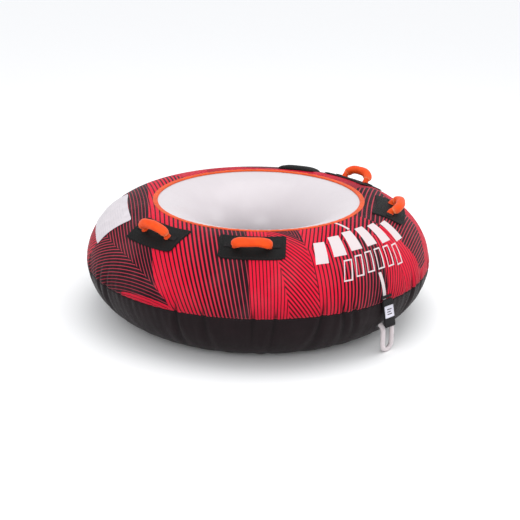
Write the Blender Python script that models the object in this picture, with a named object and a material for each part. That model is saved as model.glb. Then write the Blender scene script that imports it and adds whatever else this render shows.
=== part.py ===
"""Round one-rider towable tube: an inflated ring in a printed cover, with four handles and a tow point.

Metres, +Z up. The ring stands on z = 0 around the Z axis, and the tow point faces -Y.
A place on the ring is a heading, in degrees from -Y towards +X, and a section angle, in degrees
from the outer seam (0) over the crest (90) towards the well (180).
"""

import math

import bmesh
import bpy
import numpy as np
from mathutils import Matrix, Vector

# The ring's outside
OUTER_DIAMETER = 1.37
RING_WIDTH = 0.50
RING_HEIGHT = 0.46
BASE_FLATTENING = 0.004
SECTION_POWER = 1.93
RING_STEPS = 40
SEAM_ANGLE = -3.0

# The layers, from the outside in
COVER_THICKNESS = 0.0012
LAYER_GAP = 0.0004
BLADDER_WALL = 0.0009
PIECE_GAP = 0.0003
SEWN_LIFT = 0.0007

# The rim of the well
RIM_ANGLE = 98.0
BINDING_WIDTH = 0.018
BINDING_THICKNESS = 0.0012

# The base
DRAIN_COUNT = 4
DRAIN_CIRCLE_RADIUS = 0.10
DRAIN_BORE_RADIUS = 0.006
DRAIN_BARREL_RADIUS = 0.008
DRAIN_FLANGE_RADIUS = 0.012
DRAIN_FLANGE_THICKNESS = 0.0008
GROUND_GAP = 0.0001

# The handles: name, heading, section angle of the patch, and how far the grip leans out at rest
HANDLES = (
    ("side_right", -86.5, 63.0, 6.0),
    ("front_right", -44.8, 65.5, 33.0),
    ("front_left", 40.0, 67.5, 40.0),
    ("side_left", 87.5, 66.0, 22.0),
)
PATCH_WIDTH = 0.245
PATCH_DEPTH = 0.125
PATCH_THICKNESS = 0.0022
HANDLE_SPAN = 0.124
HANDLE_RISE = 0.041
ARCH_POWER = 2.6
AXIS_LIFT = 0.006
GRIP_DIAMETER = 0.035
GRIP_END_DIAMETER = 0.026
GRIP_FLARE = 0.010
GRIP_START = 0.0125
STRAP_START = 0.0095
WEBBING_WIDTH = 0.020
WEBBING_THICKNESS = 0.0022
GRIP_BORE_CLEARANCE = 0.0008
ANCHOR_LENGTH = 0.040
TONGUE_CLEARANCE = 0.002

# The warning label
LABEL_HEADING = -126.5
LABEL_ANGLE = 46.0
LABEL_WIDTH = 0.35
LABEL_DEPTH = 0.162
LABEL_THICKNESS = 0.0008
LABEL_SKEW = 0.20
LABEL_BOW = 0.020

# The valve and its flap
VALVE_HEADING = 117.0
VALVE_ANGLE = 75.0
VALVE_PORT_RADIUS = 0.019
VALVE_FLANGE_RADIUS = 0.029
VALVE_FLANGE_THICKNESS = 0.0020
VALVE_NECK_RADIUS = 0.018
VALVE_NECK_DEPTH = 0.012
VALVE_BORE_RADIUS = 0.013
VALVE_RIM_HEIGHT = 0.0050
VALVE_RIM_WIDTH = 0.004
INSERT_FLANGE_RADIUS = 0.020
INSERT_BORE_RADIUS = 0.009
INSERT_FLANGE_THICKNESS = 0.0014
INSERT_END_INSET = 0.002
CAP_RADIUS = 0.017
CAP_HEIGHT = 0.0030
CAP_HINGE_CLEARANCE = 0.0012
PLUG_CLEARANCE = 0.0012
PLUG_DEPTH = 0.0035
PLUG_TAPER = 0.0015
COVER_PORT_CLEARANCE = 0.004
FLAP_WIDTH = 0.160
FLAP_DEPTH = 0.110
FLAP_THICKNESS = 0.0025
FLAP_BULGE = 0.0115
HOOK_STRIP_WIDTH = 0.120
HOOK_STRIP_DEPTH = 0.016
HOOK_STRIP_INSET = 0.003
TAPE_THICKNESS = 0.0008

# The tow point
TAB_HEADING = 1.3
TAB_WIDTH = 0.058
TAB_LENGTH = 0.118
TAB_SLANT = 0.21
TAB_THICKNESS = 0.005
TAB_BEVEL = 0.006
TAB_SEWN_GAP = 0.0005
TAB_PIVOT_RISE = 0.002
TAB_STANDOFF = 0.0052
TAB_ANCHOR_DEPTH = 0.011
TAB_ANCHOR_RISE = 0.003
TAB_ANCHOR_THICKNESS = 0.003
TOW_LABEL_SIZE = 0.050
TOW_LABEL_DROP = 0.027
TOW_LABEL_THICKNESS = 0.0008
ROPE_HEADING = 4.5
ROPE_DIAMETER = 0.016
ROPE_SPACING = 0.050
ROPE_EXIT_ANGLE = -30.5
EYELET_CLEARANCE = 0.0006
EYELET_BARREL_WALL = 0.0014
EYELET_FLANGE_WIDTH = 0.0085
EYELET_THICKNESS = 0.0018
EYELET_BEVEL = 0.001

# The cover's zip, at the back
ZIP_HEADING = 180.0
ZIP_ANGLE = -11.0
ZIP_LENGTH = 0.56
ZIP_TAPE_WIDTH = 0.030
ZIP_CHAIN_WIDTH = 0.006
ZIP_CHAIN_HEIGHT = 0.0024
SLIDER_LENGTH = 0.016
SLIDER_WIDTH = 0.012
SLIDER_HEIGHT = 0.0040
PULL_LENGTH = 0.034
PULL_WIDTH = 0.009
PULL_THICKNESS = 0.0018
PULL_STANDOFF = 0.0010
PULL_GAP = 0.0004

CENTRE_RADIUS = (OUTER_DIAMETER - RING_WIDTH) / 2
SEAM_HEIGHT = RING_HEIGHT / 2 - BASE_FLATTENING
BLADDER_OUTER = -(COVER_THICKNESS + LAYER_GAP)
BLADDER_INNER = BLADDER_OUTER - BLADDER_WALL

PRINTED_RED = ((0.62, 0.05, 0.08), 0.55, 0.0)
BLACK_NYLON = ((0.025, 0.020, 0.024), 0.60, 0.0)
BLACK_NEOPRENE = ((0.018, 0.017, 0.020), 0.75, 0.0)
BLACK_WEBBING = ((0.020, 0.018, 0.020), 0.70, 0.0)
ORANGE_BINDING = ((0.80, 0.16, 0.04), 0.60, 0.0)
ORANGE_FOAM = ((0.90, 0.14, 0.01), 0.50, 0.0)
WHITE_PVC = ((0.66, 0.61, 0.64), 0.30, 0.0)
WHITE_LABEL = ((0.82, 0.76, 0.80), 0.45, 0.0)
WHITE_ROPE = ((0.80, 0.74, 0.75), 0.80, 0.0)
BLACK_PLASTIC = ((0.03, 0.03, 0.03), 0.40, 0.0)
GREY_PLASTIC = ((0.20, 0.20, 0.21), 0.40, 0.0)
NICKEL = ((0.60, 0.60, 0.58), 0.30, 1.0)


# --- the ring's section -------------------------------------------------------------------------


def signed_power(value, power):
    return math.copysign(abs(value) ** power, value)


def section(angle, lift=0.0, floor=0.0):
    """(radius, height) at a section angle, lifted along the outward normal and held above the floor."""
    c = math.cos(math.radians(angle))
    s = math.sin(math.radians(angle))
    radius = CENTRE_RADIUS + RING_WIDTH / 2 * signed_power(c, 2 / SECTION_POWER)
    height = SEAM_HEIGHT + RING_HEIGHT / 2 * signed_power(s, 2 / SECTION_POWER)
    normal = section_normal(angle)
    return radius + lift * normal[0], max(height + lift * normal[1], floor)


def section_normal(angle):
    c = math.cos(math.radians(angle))
    s = math.sin(math.radians(angle))
    power = 2 - 2 / SECTION_POWER
    normal = np.array([signed_power(c, power) / RING_WIDTH, signed_power(s, power) / RING_HEIGHT])
    return normal / np.linalg.norm(normal)


SECTION_ANGLES = np.linspace(-90, 180, 541)
SECTION_POINTS = np.array([section(angle) for angle in SECTION_ANGLES])
SECTION_LENGTHS = np.concatenate(
    [[0.0], np.cumsum(np.linalg.norm(np.diff(SECTION_POINTS, axis=0), axis=1))]
)


def length_at(angle):
    return float(np.interp(angle, SECTION_ANGLES, SECTION_LENGTHS))


def angle_at(length):
    return float(np.interp(length, SECTION_LENGTHS, SECTION_ANGLES))


def angle_at_radius(radius):
    """The section angle on the upper side at a radius."""
    upper = SECTION_ANGLES >= 0
    return float(np.interp(-radius, -SECTION_POINTS[upper, 0], SECTION_ANGLES[upper]))


def angle_at_floor():
    """The section angle at which the outer side reaches the floor."""
    lower = (SECTION_ANGLES <= 0) & (SECTION_POINTS[:, 1] > 0)
    return float(SECTION_ANGLES[lower][0])


# The section angles that every layer shares, so that their facets lie parallel
def side_stops():
    return list(np.linspace(angle_at_floor(), SEAM_ANGLE, 6))


def top_stops():
    return [SEAM_ANGLE, *np.linspace(0, RIM_ANGLE, 9)]


def well_stops():
    return list(np.linspace(RIM_ANGLE, 360 + angle_at_floor(), 8))


def on_ring(heading, angle, lift=0.0):
    radius, height = section(angle, lift)
    turn = math.radians(heading)
    return Vector((radius * math.sin(turn), -radius * math.cos(turn), height))


def station(heading, angle, lift=0.0):
    """A frame on the ring: X along the ring, Y up the section, Z outwards."""
    turn = math.radians(heading)
    out = section_normal(angle)
    along = Vector((math.cos(turn), math.sin(turn), 0))
    normal = Vector((out[0] * math.sin(turn), -out[0] * math.cos(turn), out[1]))
    rotation = Matrix((along, normal.cross(along), normal)).transposed()
    return Matrix.Translation(on_ring(heading, angle, lift)) @ rotation.to_4x4()


# --- building blocks ----------------------------------------------------------------------------


def clear_scene():
    for item in list(bpy.data.objects):
        bpy.data.objects.remove(item, do_unlink=True)


def make_material(name, finish):
    colour, roughness, metallic = finish
    material = bpy.data.materials.new(name)
    material.use_nodes = True
    shader = material.node_tree.nodes["Principled BSDF"]
    shader.inputs["Base Color"].default_value = (*colour, 1.0)
    shader.inputs["Roughness"].default_value = roughness
    shader.inputs["Metallic"].default_value = metallic
    material.diffuse_color = (*colour, 1.0)
    return material


def add_object(name, mesh, finish, matrix=None):
    item = bpy.data.objects.new(name, mesh)
    bpy.context.scene.collection.objects.link(item)
    if matrix is not None:
        item.matrix_world = matrix
    if finish is not None:
        mesh.materials.append(make_material(name, finish))
    return item


def mesh_from(name, points, faces, smooth=True):
    """A mesh with its faces turned outwards."""
    mesh = bpy.data.meshes.new(name)
    mesh.from_pydata([tuple(point) for point in points], [], faces)
    work = bmesh.new()
    work.from_mesh(mesh)
    bmesh.ops.recalc_face_normals(work, faces=work.faces)
    work.to_mesh(mesh)
    work.free()
    if smooth:
        mesh.shade_smooth()
        mesh.set_sharp_from_angle(angle=math.radians(35))
    return mesh


def turned_mesh(name, loop, steps):
    """Turns a closed loop of (radius, height) about Z; a loop point on the axis becomes a pole."""
    points = []
    rows = []
    for radius, height in loop:
        if radius < 1e-9:
            rows.append([len(points)] * steps)
            points.append((0.0, 0.0, height))
            continue
        first = len(points)
        for step in range(steps):
            turn = 2 * math.pi * step / steps
            points.append((radius * math.sin(turn), -radius * math.cos(turn), height))
        rows.append([first + step for step in range(steps)])
    faces = []
    for row, following in zip(rows, rows[1:] + rows[:1]):
        for step in range(steps):
            after = (step + 1) % steps
            corners = (row[step], row[after], following[after], following[step])
            corners = list(dict.fromkeys(corners))
            if len(corners) > 2:
                faces.append(corners)
    return mesh_from(name, points, faces)


def ring_skin(name, angles, outer_lift, inner_lift, outer_floor, inner_floor, finish):
    """A skin of the ring between two lifts, over the given section angles."""
    outer = [section(angle, outer_lift, outer_floor) for angle in angles]
    inner = [section(angle, inner_lift, inner_floor) for angle in angles]
    return add_object(name, turned_mesh(name, outer + inner[::-1], RING_STEPS), finish)


def closed_skin(name, angles, outer_lift, inner_lift, outer_floor, inner_floor, finish):
    """A skin all round the section: two closed surfaces, joined later by the hole that is cut in it."""
    points = []
    faces = []
    for lift, floor, flip in ((outer_lift, outer_floor, False), (inner_lift, inner_floor, True)):
        first = len(points)
        count = len(angles)
        for step in range(RING_STEPS):
            turn = 2 * math.pi * step / RING_STEPS
            for angle in angles:
                radius, height = section(angle, lift, floor)
                points.append((radius * math.sin(turn), -radius * math.cos(turn), height))
        for step in range(RING_STEPS):
            near = first + step * count
            far = first + (step + 1) % RING_STEPS * count
            for place in range(count):
                after = (place + 1) % count
                face = [near + place, far + place, far + after, near + after]
                faces.append(face[::-1] if flip else face)
    mesh = bpy.data.meshes.new(name)
    mesh.from_pydata(points, [], faces)
    mesh.shade_smooth()
    return add_object(name, mesh, finish)


def grid_solid(name, lower, upper, finish):
    """A closed solid between two grids of points of the same shape."""
    rows = len(lower)
    columns = len(lower[0])
    points = [point for row in lower for point in row] + [point for row in upper for point in row]
    shift = rows * columns
    faces = []
    for i in range(rows - 1):
        for j in range(columns - 1):
            a = i * columns + j
            b = a + columns
            faces.append([a, a + 1, b + 1, b])
            faces.append([shift + a, shift + b, shift + b + 1, shift + a + 1])
    edge = [j for j in range(columns)]
    edge += [i * columns + columns - 1 for i in range(1, rows)]
    edge += [(rows - 1) * columns + j for j in range(columns - 2, -1, -1)]
    edge += [i * columns for i in range(rows - 2, 0, -1)]
    for a, b in zip(edge, edge[1:] + edge[:1]):
        faces.append([a, b, shift + b, shift + a])
    return add_object(name, mesh_from(name, points, faces), finish)


def sheet(name, heading, angle, along, up, lifts, finish, steps=(6, 3), skew=0.0, bow=0.0):
    """A patch that lies on the ring: along and up are (low, high) distances from the station.

    Its middle stands higher up the section than its ends by the bow.
    """
    start = length_at(angle)
    grids = []
    for lift in lifts:
        grid = []
        for v in np.linspace(up[0], up[1], steps[1] + 1):
            row = []
            for u in np.linspace(along[0], along[1], steps[0] + 1):
                rise = bow * (1 - (2 * u / (along[1] - along[0])) ** 2) if bow else 0.0
                place = angle_at(start + v + rise)
                turn = math.degrees((u + skew * v) / section(place)[0])
                row.append(on_ring(heading + turn, place, lift))
            grid.append(row)
        grids.append(grid)
    return grid_solid(name, grids[0], grids[1], finish)


def cut(item, cutter):
    cutter.hide_render = True
    cutter.display_type = "WIRE"
    modifier = item.modifiers.new("cut_" + cutter.name, "BOOLEAN")
    modifier.operation = "DIFFERENCE"
    modifier.solver = "EXACT"
    modifier.object = cutter


def join(item, other):
    """Unites a helper with an item."""
    other.hide_render = True
    other.display_type = "WIRE"
    modifier = item.modifiers.new("join_" + other.name, "BOOLEAN")
    modifier.operation = "UNION"
    modifier.solver = "EXACT"
    modifier.object = other


def cylinder_cutter(name, radius, low, high, matrix, steps=24):
    loop = [(0.0, low), (radius, low), (radius, high), (0.0, high)]
    return add_object(name, turned_mesh(name, loop, steps), None, matrix)


def swept(path, sections):
    """Joins one closed section loop at each station of a path in the local XZ plane.

    A section is a list of (in the plane, across it) offsets; the ends are closed by flat faces.
    """
    points = []
    count = len(sections[0])
    tangents = np.gradient(np.array(path), axis=0)
    for (x, z), tangent, loop in zip(path, tangents, sections):
        tangent = tangent / np.linalg.norm(tangent)
        for normal_offset, across in loop:
            points.append((x - tangent[1] * normal_offset, across, z + tangent[0] * normal_offset))
    faces = []
    for i in range(len(path) - 1):
        for j in range(count):
            k = (j + 1) % count
            a = i * count
            b = a + count
            faces.append([a + j, a + k, b + k, b + j])
    return points, faces, count


def oval(half_height, half_width, count, power=2.0):
    loop = []
    for step in range(count):
        turn = 2 * math.pi * (step + 0.5) / count
        loop.append(
            (
                half_height * signed_power(math.sin(turn), 2 / power),
                half_width * signed_power(math.cos(turn), 2 / power),
            )
        )
    return loop


# --- the inflated ring and its cover ------------------------------------------------------------


def build_bladder():
    angles = [*side_stops()[:-1], *top_stops()[:-1], *well_stops()[:-1]]
    floor = COVER_THICKNESS + LAYER_GAP
    bladder = closed_skin(
        "bladder", angles, BLADDER_OUTER, BLADDER_INNER, floor, floor + BLADDER_WALL, WHITE_PVC
    )
    port = cylinder_cutter(
        "bladder_port", VALVE_PORT_RADIUS, -0.02, 0.02, station(VALVE_HEADING, VALVE_ANGLE)
    )
    cut(bladder, port)


def build_cover():
    seam_gap = math.degrees(PIECE_GAP / (RING_HEIGHT / 2))
    top_angles = [SEAM_ANGLE + seam_gap, *top_stops()[1:]]
    top = ring_skin("cover_top", top_angles, 0, -COVER_THICKNESS, 0, 0, PRINTED_RED)
    port_radius = VALVE_FLANGE_RADIUS + COVER_PORT_CLEARANCE
    cut(top, cylinder_cutter("cover_port", port_radius, -0.02, 0.02, valve_station()))
    side = ring_skin(
        "cover_side", side_stops(), 0, -COVER_THICKNESS, 0, COVER_THICKNESS, BLACK_NYLON
    )
    for label, heading in rope_headings():
        place = station(heading, ROPE_EXIT_ANGLE)
        cut(side, cylinder_cutter("eyelet_hole_" + label, eyelet_hole_radius(), -0.01, 0.01, place))
    build_base_panel()
    build_rim_binding()


def build_base_panel():
    radius = section(angle_at_floor())[0] - COVER_THICKNESS
    loop = [(0.0, 0.0), (radius, 0.0), (radius, COVER_THICKNESS), (0.0, COVER_THICKNESS)]
    panel = add_object("base_panel", turned_mesh("base_panel", loop, RING_STEPS), BLACK_NYLON)
    hole = DRAIN_BARREL_RADIUS + PIECE_GAP
    flange_low = COVER_THICKNESS + PIECE_GAP
    flange_high = flange_low + DRAIN_FLANGE_THICKNESS
    loop = [
        (DRAIN_BORE_RADIUS, GROUND_GAP),
        (DRAIN_BARREL_RADIUS, GROUND_GAP),
        (DRAIN_BARREL_RADIUS, flange_low),
        (DRAIN_FLANGE_RADIUS, flange_low),
        (DRAIN_FLANGE_RADIUS, flange_high),
        (DRAIN_BORE_RADIUS, flange_high),
    ]
    mesh = turned_mesh("drain_grommet", loop, 16)
    for index in range(DRAIN_COUNT):
        turn = 2 * math.pi * (index + 0.5) / DRAIN_COUNT
        place = Matrix.Translation(
            (DRAIN_CIRCLE_RADIUS * math.cos(turn), DRAIN_CIRCLE_RADIUS * math.sin(turn), 0)
        )
        cut(panel, cylinder_cutter(f"drain_hole_{index + 1}", hole, -0.01, 0.01, place, 16))
        add_object(f"drain_grommet_{index + 1}", mesh.copy(), NICKEL, place)


def build_rim_binding():
    """An edge binding folded over the cover's edge round the well."""
    outer_angle = angle_at(length_at(RIM_ANGLE) - BINDING_WIDTH)
    edge_angle = angle_at(length_at(RIM_ANGLE) + PIECE_GAP)
    inner_angle = angle_at(length_at(RIM_ANGLE) + PIECE_GAP + BINDING_THICKNESS)
    low = PIECE_GAP
    high = PIECE_GAP + BINDING_THICKNESS
    loop = [
        section(inner_angle, -COVER_THICKNESS),
        section(inner_angle, high),
        section((inner_angle + outer_angle) / 2, high),
        section(outer_angle, high),
        section(outer_angle, low),
        section((edge_angle + outer_angle) / 2, low),
        section(edge_angle, low),
        section(edge_angle, -COVER_THICKNESS),
    ]
    add_object("rim_binding", turned_mesh("rim_binding", loop, RING_STEPS), ORANGE_BINDING)


# --- the handles --------------------------------------------------------------------------------


def arch_path(start_height, count):
    """Points of the handle's arch in its own XZ plane, from one foot to the other."""
    first = math.asin((start_height / HANDLE_RISE) ** (ARCH_POWER / 2))
    path = []
    for step in range(count + 1):
        turn = math.pi - first - (math.pi - 2 * first) * step / count
        path.append(
            (
                HANDLE_SPAN / 2 * signed_power(math.cos(turn), 2 / ARCH_POWER),
                HANDLE_RISE * math.sin(turn) ** (2 / ARCH_POWER),
            )
        )
    return path


def grip_mesh():
    """A foam sleeve round the arch, narrower at its ends, with a slot for the webbing."""
    path = arch_path(GRIP_START, 12)
    steps = np.linalg.norm(np.diff(np.array(path), axis=0), axis=1)
    lengths = np.concatenate([[0.0], np.cumsum(steps)])
    outer = []
    inner = []
    for length in lengths:
        from_end = min(length, lengths[-1] - length)
        share = min(1.0, from_end / GRIP_FLARE)
        radius = GRIP_END_DIAMETER / 2 + (GRIP_DIAMETER - GRIP_END_DIAMETER) / 2 * share
        outer.append(oval(radius, radius, 10))
        inner.append(
            oval(
                (WEBBING_THICKNESS + 2 * GRIP_BORE_CLEARANCE) / 2 * math.sqrt(2),
                (WEBBING_WIDTH + 2 * GRIP_BORE_CLEARANCE) / 2,
                10,
                8.0,
            )
        )
    points, faces, count = swept(path, outer)
    more, inner_faces, _ = swept(path, inner)
    shift = len(points)
    last = (len(path) - 1) * count
    faces += [[shift + corner for corner in face[::-1]] for face in inner_faces]
    for end in (0, last):
        for j in range(count):
            k = (j + 1) % count
            faces.append([end + j, end + k, shift + end + k, shift + end + j])
    return mesh_from("grip", points + more, faces)


def strap_mesh():
    path = arch_path(STRAP_START, 12)
    half = WEBBING_THICKNESS / 2
    side = WEBBING_WIDTH / 2
    loop = [(-half, -side), (half, -side), (half, side), (-half, side)]
    points, faces, count = swept(path, [loop] * len(path))
    last = (len(path) - 1) * count
    faces.append(list(range(count)))
    faces.append([last + j for j in range(count)])
    return mesh_from("strap", points, faces)


def foot_frames(heading, angle):
    """The frames of a handle's two feet, on top of its patch, and the frame of its hinge axis."""
    top = SEWN_LIFT + PATCH_THICKNESS
    half_turn = math.degrees(HANDLE_SPAN / 2 / section(angle)[0])
    feet = [station(heading + side * half_turn, angle, top) for side in (-1, 1)]
    middle = (feet[0].translation + feet[1].translation) / 2
    centre = station(heading, angle)
    normal = centre.col[2].xyz
    hinge = centre.copy()
    hinge.translation = middle + AXIS_LIFT * normal
    return feet, hinge


def build_anchor(name, heading, angle, side):
    """Webbing sewn flat to the patch, with a rounded tongue that rises to the handle's axis."""
    low = SEWN_LIFT + PATCH_THICKNESS + PIECE_GAP
    lifts = (low, low + WEBBING_THICKNESS)
    start = HANDLE_SPAN / 2 - WEBBING_THICKNESS / 2
    along = sorted((side * start, side * (start + ANCHOR_LENGTH)))
    up = (-WEBBING_WIDTH / 2, WEBBING_WIDTH / 2)
    anchor = sheet(name, heading, angle, along, up, lifts, BLACK_WEBBING, (4, 1))
    half_turn = math.degrees(HANDLE_SPAN / 2 / section(angle)[0])
    foot = station(heading + side * half_turn, angle, SEWN_LIFT + PATCH_THICKNESS)
    tongue_radius = STRAP_START - TONGUE_CLEARANCE
    outline = [(-tongue_radius, 2 * PIECE_GAP), (tongue_radius, 2 * PIECE_GAP)]
    for step in range(9):
        turn = math.pi * step / 8
        outline.append(
            (tongue_radius * math.cos(turn), AXIS_LIFT + tongue_radius * math.sin(turn))
        )
    half = WEBBING_THICKNESS / 2
    count = len(outline)
    points = [(-half, y, z) for y, z in outline] + [(half, y, z) for y, z in outline]
    faces = [list(range(count)), [count + j for j in range(count)]]
    for j in range(count):
        k = (j + 1) % count
        faces.append([j, k, count + k, count + j])
    tongue = add_object(name + "_tongue", mesh_from(name, points, faces, False), None, foot)
    join(anchor, tongue)


def build_handles():
    grip = grip_mesh()
    strap = strap_mesh()
    half_width = PATCH_WIDTH / 2
    half_depth = PATCH_DEPTH / 2
    for place, heading, angle, lean in HANDLES:
        sheet(
            "knuckle_patch_" + place,
            heading,
            angle,
            (-half_width, half_width),
            (-half_depth, half_depth),
            (SEWN_LIFT, SEWN_LIFT + PATCH_THICKNESS),
            BLACK_NEOPRENE,
            (10, 6),
        )
        build_anchor("handle_anchor_" + place + "_a", heading, angle, -1)
        build_anchor("handle_anchor_" + place + "_b", heading, angle, 1)
        hinge = foot_frames(heading, angle)[1] @ Matrix.Rotation(math.radians(lean), 4, "X")
        add_object("grip_" + place, grip.copy(), ORANGE_FOAM, hinge)
        add_object("handle_strap_" + place, strap.copy(), BLACK_WEBBING, hinge)


# --- label, valve and flap ----------------------------------------------------------------------


def build_label():
    half_width = LABEL_WIDTH / 2
    half_depth = LABEL_DEPTH / 2
    sheet(
        "warning_label",
        LABEL_HEADING,
        LABEL_ANGLE,
        (-half_width, half_width),
        (-half_depth, half_depth),
        (SEWN_LIFT, SEWN_LIFT + LABEL_THICKNESS),
        WHITE_LABEL,
        (14, 8),
        LABEL_SKEW,
        LABEL_BOW,
    )


def valve_station():
    return station(VALVE_HEADING, VALVE_ANGLE, BLADDER_OUTER)


def build_valve():
    place = valve_station()
    low = LAYER_GAP
    flange_top = low + VALVE_FLANGE_THICKNESS
    rim_top = low + VALVE_RIM_HEIGHT
    base = [
        (VALVE_BORE_RADIUS, -VALVE_NECK_DEPTH),
        (VALVE_NECK_RADIUS, -VALVE_NECK_DEPTH),
        (VALVE_NECK_RADIUS, low),
        (VALVE_FLANGE_RADIUS, low),
        (VALVE_FLANGE_RADIUS, flange_top),
        (VALVE_BORE_RADIUS + VALVE_RIM_WIDTH, rim_top),
        (VALVE_BORE_RADIUS, rim_top),
    ]
    add_object("valve_base", turned_mesh("valve_base", base, 24), WHITE_PVC, place)
    barrel = VALVE_BORE_RADIUS - PIECE_GAP
    insert_low = rim_top + PIECE_GAP
    insert_high = insert_low + INSERT_FLANGE_THICKNESS
    insert_end = -VALVE_NECK_DEPTH + INSERT_END_INSET
    insert = [
        (INSERT_BORE_RADIUS, insert_end),
        (barrel, insert_end),
        (barrel, insert_low),
        (INSERT_FLANGE_RADIUS, insert_low),
        (INSERT_FLANGE_RADIUS, insert_high),
        (INSERT_BORE_RADIUS, insert_high),
    ]
    add_object("valve_insert", turned_mesh("valve_insert", insert, 24), BLACK_PLASTIC, place)
    build_valve_cap(place, insert_high)


def cap_hinge_offset():
    return CAP_RADIUS + CAP_HINGE_CLEARANCE


def build_valve_cap(place, seat):
    """A push-in cap with its origin on the hinge line at the edge of the insert."""
    low = PIECE_GAP
    plug = INSERT_BORE_RADIUS - PLUG_CLEARANCE
    loop = [
        (0.0, -PLUG_DEPTH),
        (plug - PLUG_TAPER, -PLUG_DEPTH),
        (plug, low),
        (CAP_RADIUS, low),
        (CAP_RADIUS, low + CAP_HEIGHT * 0.6),
        (CAP_RADIUS * 0.8, low + CAP_HEIGHT),
        (0.0, low + CAP_HEIGHT),
    ]
    offset = cap_hinge_offset()
    mesh = turned_mesh("valve_cap", loop, 24)
    mesh.transform(Matrix.Translation((0, -offset, 0)))
    hinge = place @ Matrix.Translation((0, offset, seat))
    add_object("valve_cap", mesh, BLACK_PLASTIC, hinge)


def flap_lift(u, v):
    """The flap's height: flat at its edges, raised over the valve."""
    across = 1 - (2 * u / FLAP_WIDTH) ** 4
    down = 1 - (2 * v / FLAP_DEPTH) ** 4
    return 2 * SEWN_LIFT + TAPE_THICKNESS + FLAP_BULGE * across * down


def build_flap():
    """The valve's cover flap, sewn along its straight inner edge, which is its hinge line."""
    start = length_at(VALVE_ANGLE)
    turn = math.radians(VALVE_HEADING)
    along = Vector((math.cos(turn), math.sin(turn), 0))
    out = Vector((math.sin(turn), -math.cos(turn), 0))
    hinge = Matrix.Translation(flap_hinge_point())
    grids = []
    for thickness in (0.0, FLAP_THICKNESS):
        grid = []
        for v in np.linspace(-FLAP_DEPTH / 2, FLAP_DEPTH / 2, 9):
            radius_here = section(angle_at(start + v))[0]
            row = []
            for u in np.linspace(-FLAP_WIDTH / 2, FLAP_WIDTH / 2, 11):
                radius = math.hypot(radius_here, u)
                lift = flap_lift(u, v) + thickness
                radius, height = section(angle_at_radius(radius), lift)
                level = out * math.sqrt(radius**2 - u**2) + along * u
                row.append(level + Vector((0, 0, height)) - hinge.translation)
            grid.append(row)
        grids.append(grid)
    flap = grid_solid("valve_flap", grids[0], grids[1], BLACK_NEOPRENE)
    flap.matrix_world = hinge
    drop = -FLAP_DEPTH / 2 + HOOK_STRIP_DEPTH / 2 + HOOK_STRIP_INSET
    sheet(
        "flap_hook_strip",
        VALVE_HEADING,
        angle_at(start + drop),
        (-HOOK_STRIP_WIDTH / 2, HOOK_STRIP_WIDTH / 2),
        (-HOOK_STRIP_DEPTH / 2, HOOK_STRIP_DEPTH / 2),
        (SEWN_LIFT, SEWN_LIFT + TAPE_THICKNESS),
        BLACK_NYLON,
        (8, 1),
    )


def flap_hinge_point():
    edge = angle_at(length_at(VALVE_ANGLE) + FLAP_DEPTH / 2)
    return on_ring(VALVE_HEADING, edge, 2 * SEWN_LIFT)


# --- the tow point ------------------------------------------------------------------------------


def box_mesh(name, low, high):
    corners = (low, high)
    points = [(a[0], b[1], c[2]) for a in corners for b in corners for c in corners]
    faces = [[0, 1, 3, 2], [4, 6, 7, 5], [0, 4, 5, 1], [2, 3, 7, 6], [0, 2, 6, 4], [1, 5, 7, 3]]
    return mesh_from(name, points, faces, False)


def tab_pivot():
    """The tab's hinge line: X runs along it, and Y points into the ring."""
    return Matrix.Rotation(math.radians(TAB_HEADING), 4, "Z") @ Matrix.Translation(
        (0, -(OUTER_DIAMETER / 2 + TAB_STANDOFF), SEAM_HEIGHT + TAB_PIVOT_RISE)
    )


def build_tow_tab():
    """A webbing tab that hangs a little askew from its sewn end, with a woven label on it."""
    half = TAB_WIDTH / 2
    thick = TAB_THICKNESS / 2
    outline = [
        (-half, -TAB_SEWN_GAP),
        (-half, -TAB_LENGTH + TAB_BEVEL),
        (-half + TAB_BEVEL, -TAB_LENGTH),
        (half - TAB_BEVEL, -TAB_LENGTH),
        (half, -TAB_LENGTH + TAB_BEVEL),
        (half, -TAB_SEWN_GAP),
    ]
    count = len(outline)
    points = [(x, -thick, z) for x, z in outline] + [(x, thick, z) for x, z in outline]
    faces = [list(range(count)), [count + j for j in range(count)]]
    for j in range(count):
        k = (j + 1) % count
        faces.append([j, k, count + k, count + j])
    slant = Matrix.Shear("XY", 4, (-TAB_SLANT, 0))
    pivot = tab_pivot()
    tab = mesh_from("tow_tab", points, faces, False)
    tab.transform(slant)
    add_object("tow_tab", tab, BLACK_WEBBING, pivot)
    size = TOW_LABEL_SIZE / 2
    front = -thick - PIECE_GAP
    label = box_mesh(
        "tow_label",
        (-size, front - TOW_LABEL_THICKNESS, -TOW_LABEL_DROP - TOW_LABEL_SIZE),
        (size, front, -TOW_LABEL_DROP),
    )
    label.transform(slant)
    add_object("tow_label", label, WHITE_LABEL, pivot)
    pivot_angle = math.degrees(math.asin((TAB_PIVOT_RISE + TAB_ANCHOR_RISE) / (RING_HEIGHT / 2)))
    sheet(
        "tow_tab_anchor",
        TAB_HEADING,
        pivot_angle,
        (-half, half),
        (0.0, TAB_ANCHOR_DEPTH),
        (SEWN_LIFT, SEWN_LIFT + TAB_ANCHOR_THICKNESS),
        BLACK_WEBBING,
        (4, 3),
    )


def rope_headings():
    """The headings at which the tow rope's two ends leave the cover."""
    radius = section(ROPE_EXIT_ANGLE)[0]
    turn = math.degrees(math.asin(ROPE_SPACING / 2 / radius))
    return (("right", ROPE_HEADING - turn), ("left", ROPE_HEADING + turn))


def eyelet_hole_radius():
    return ROPE_DIAMETER / 2 + EYELET_CLEARANCE + EYELET_BARREL_WALL + PIECE_GAP


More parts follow.
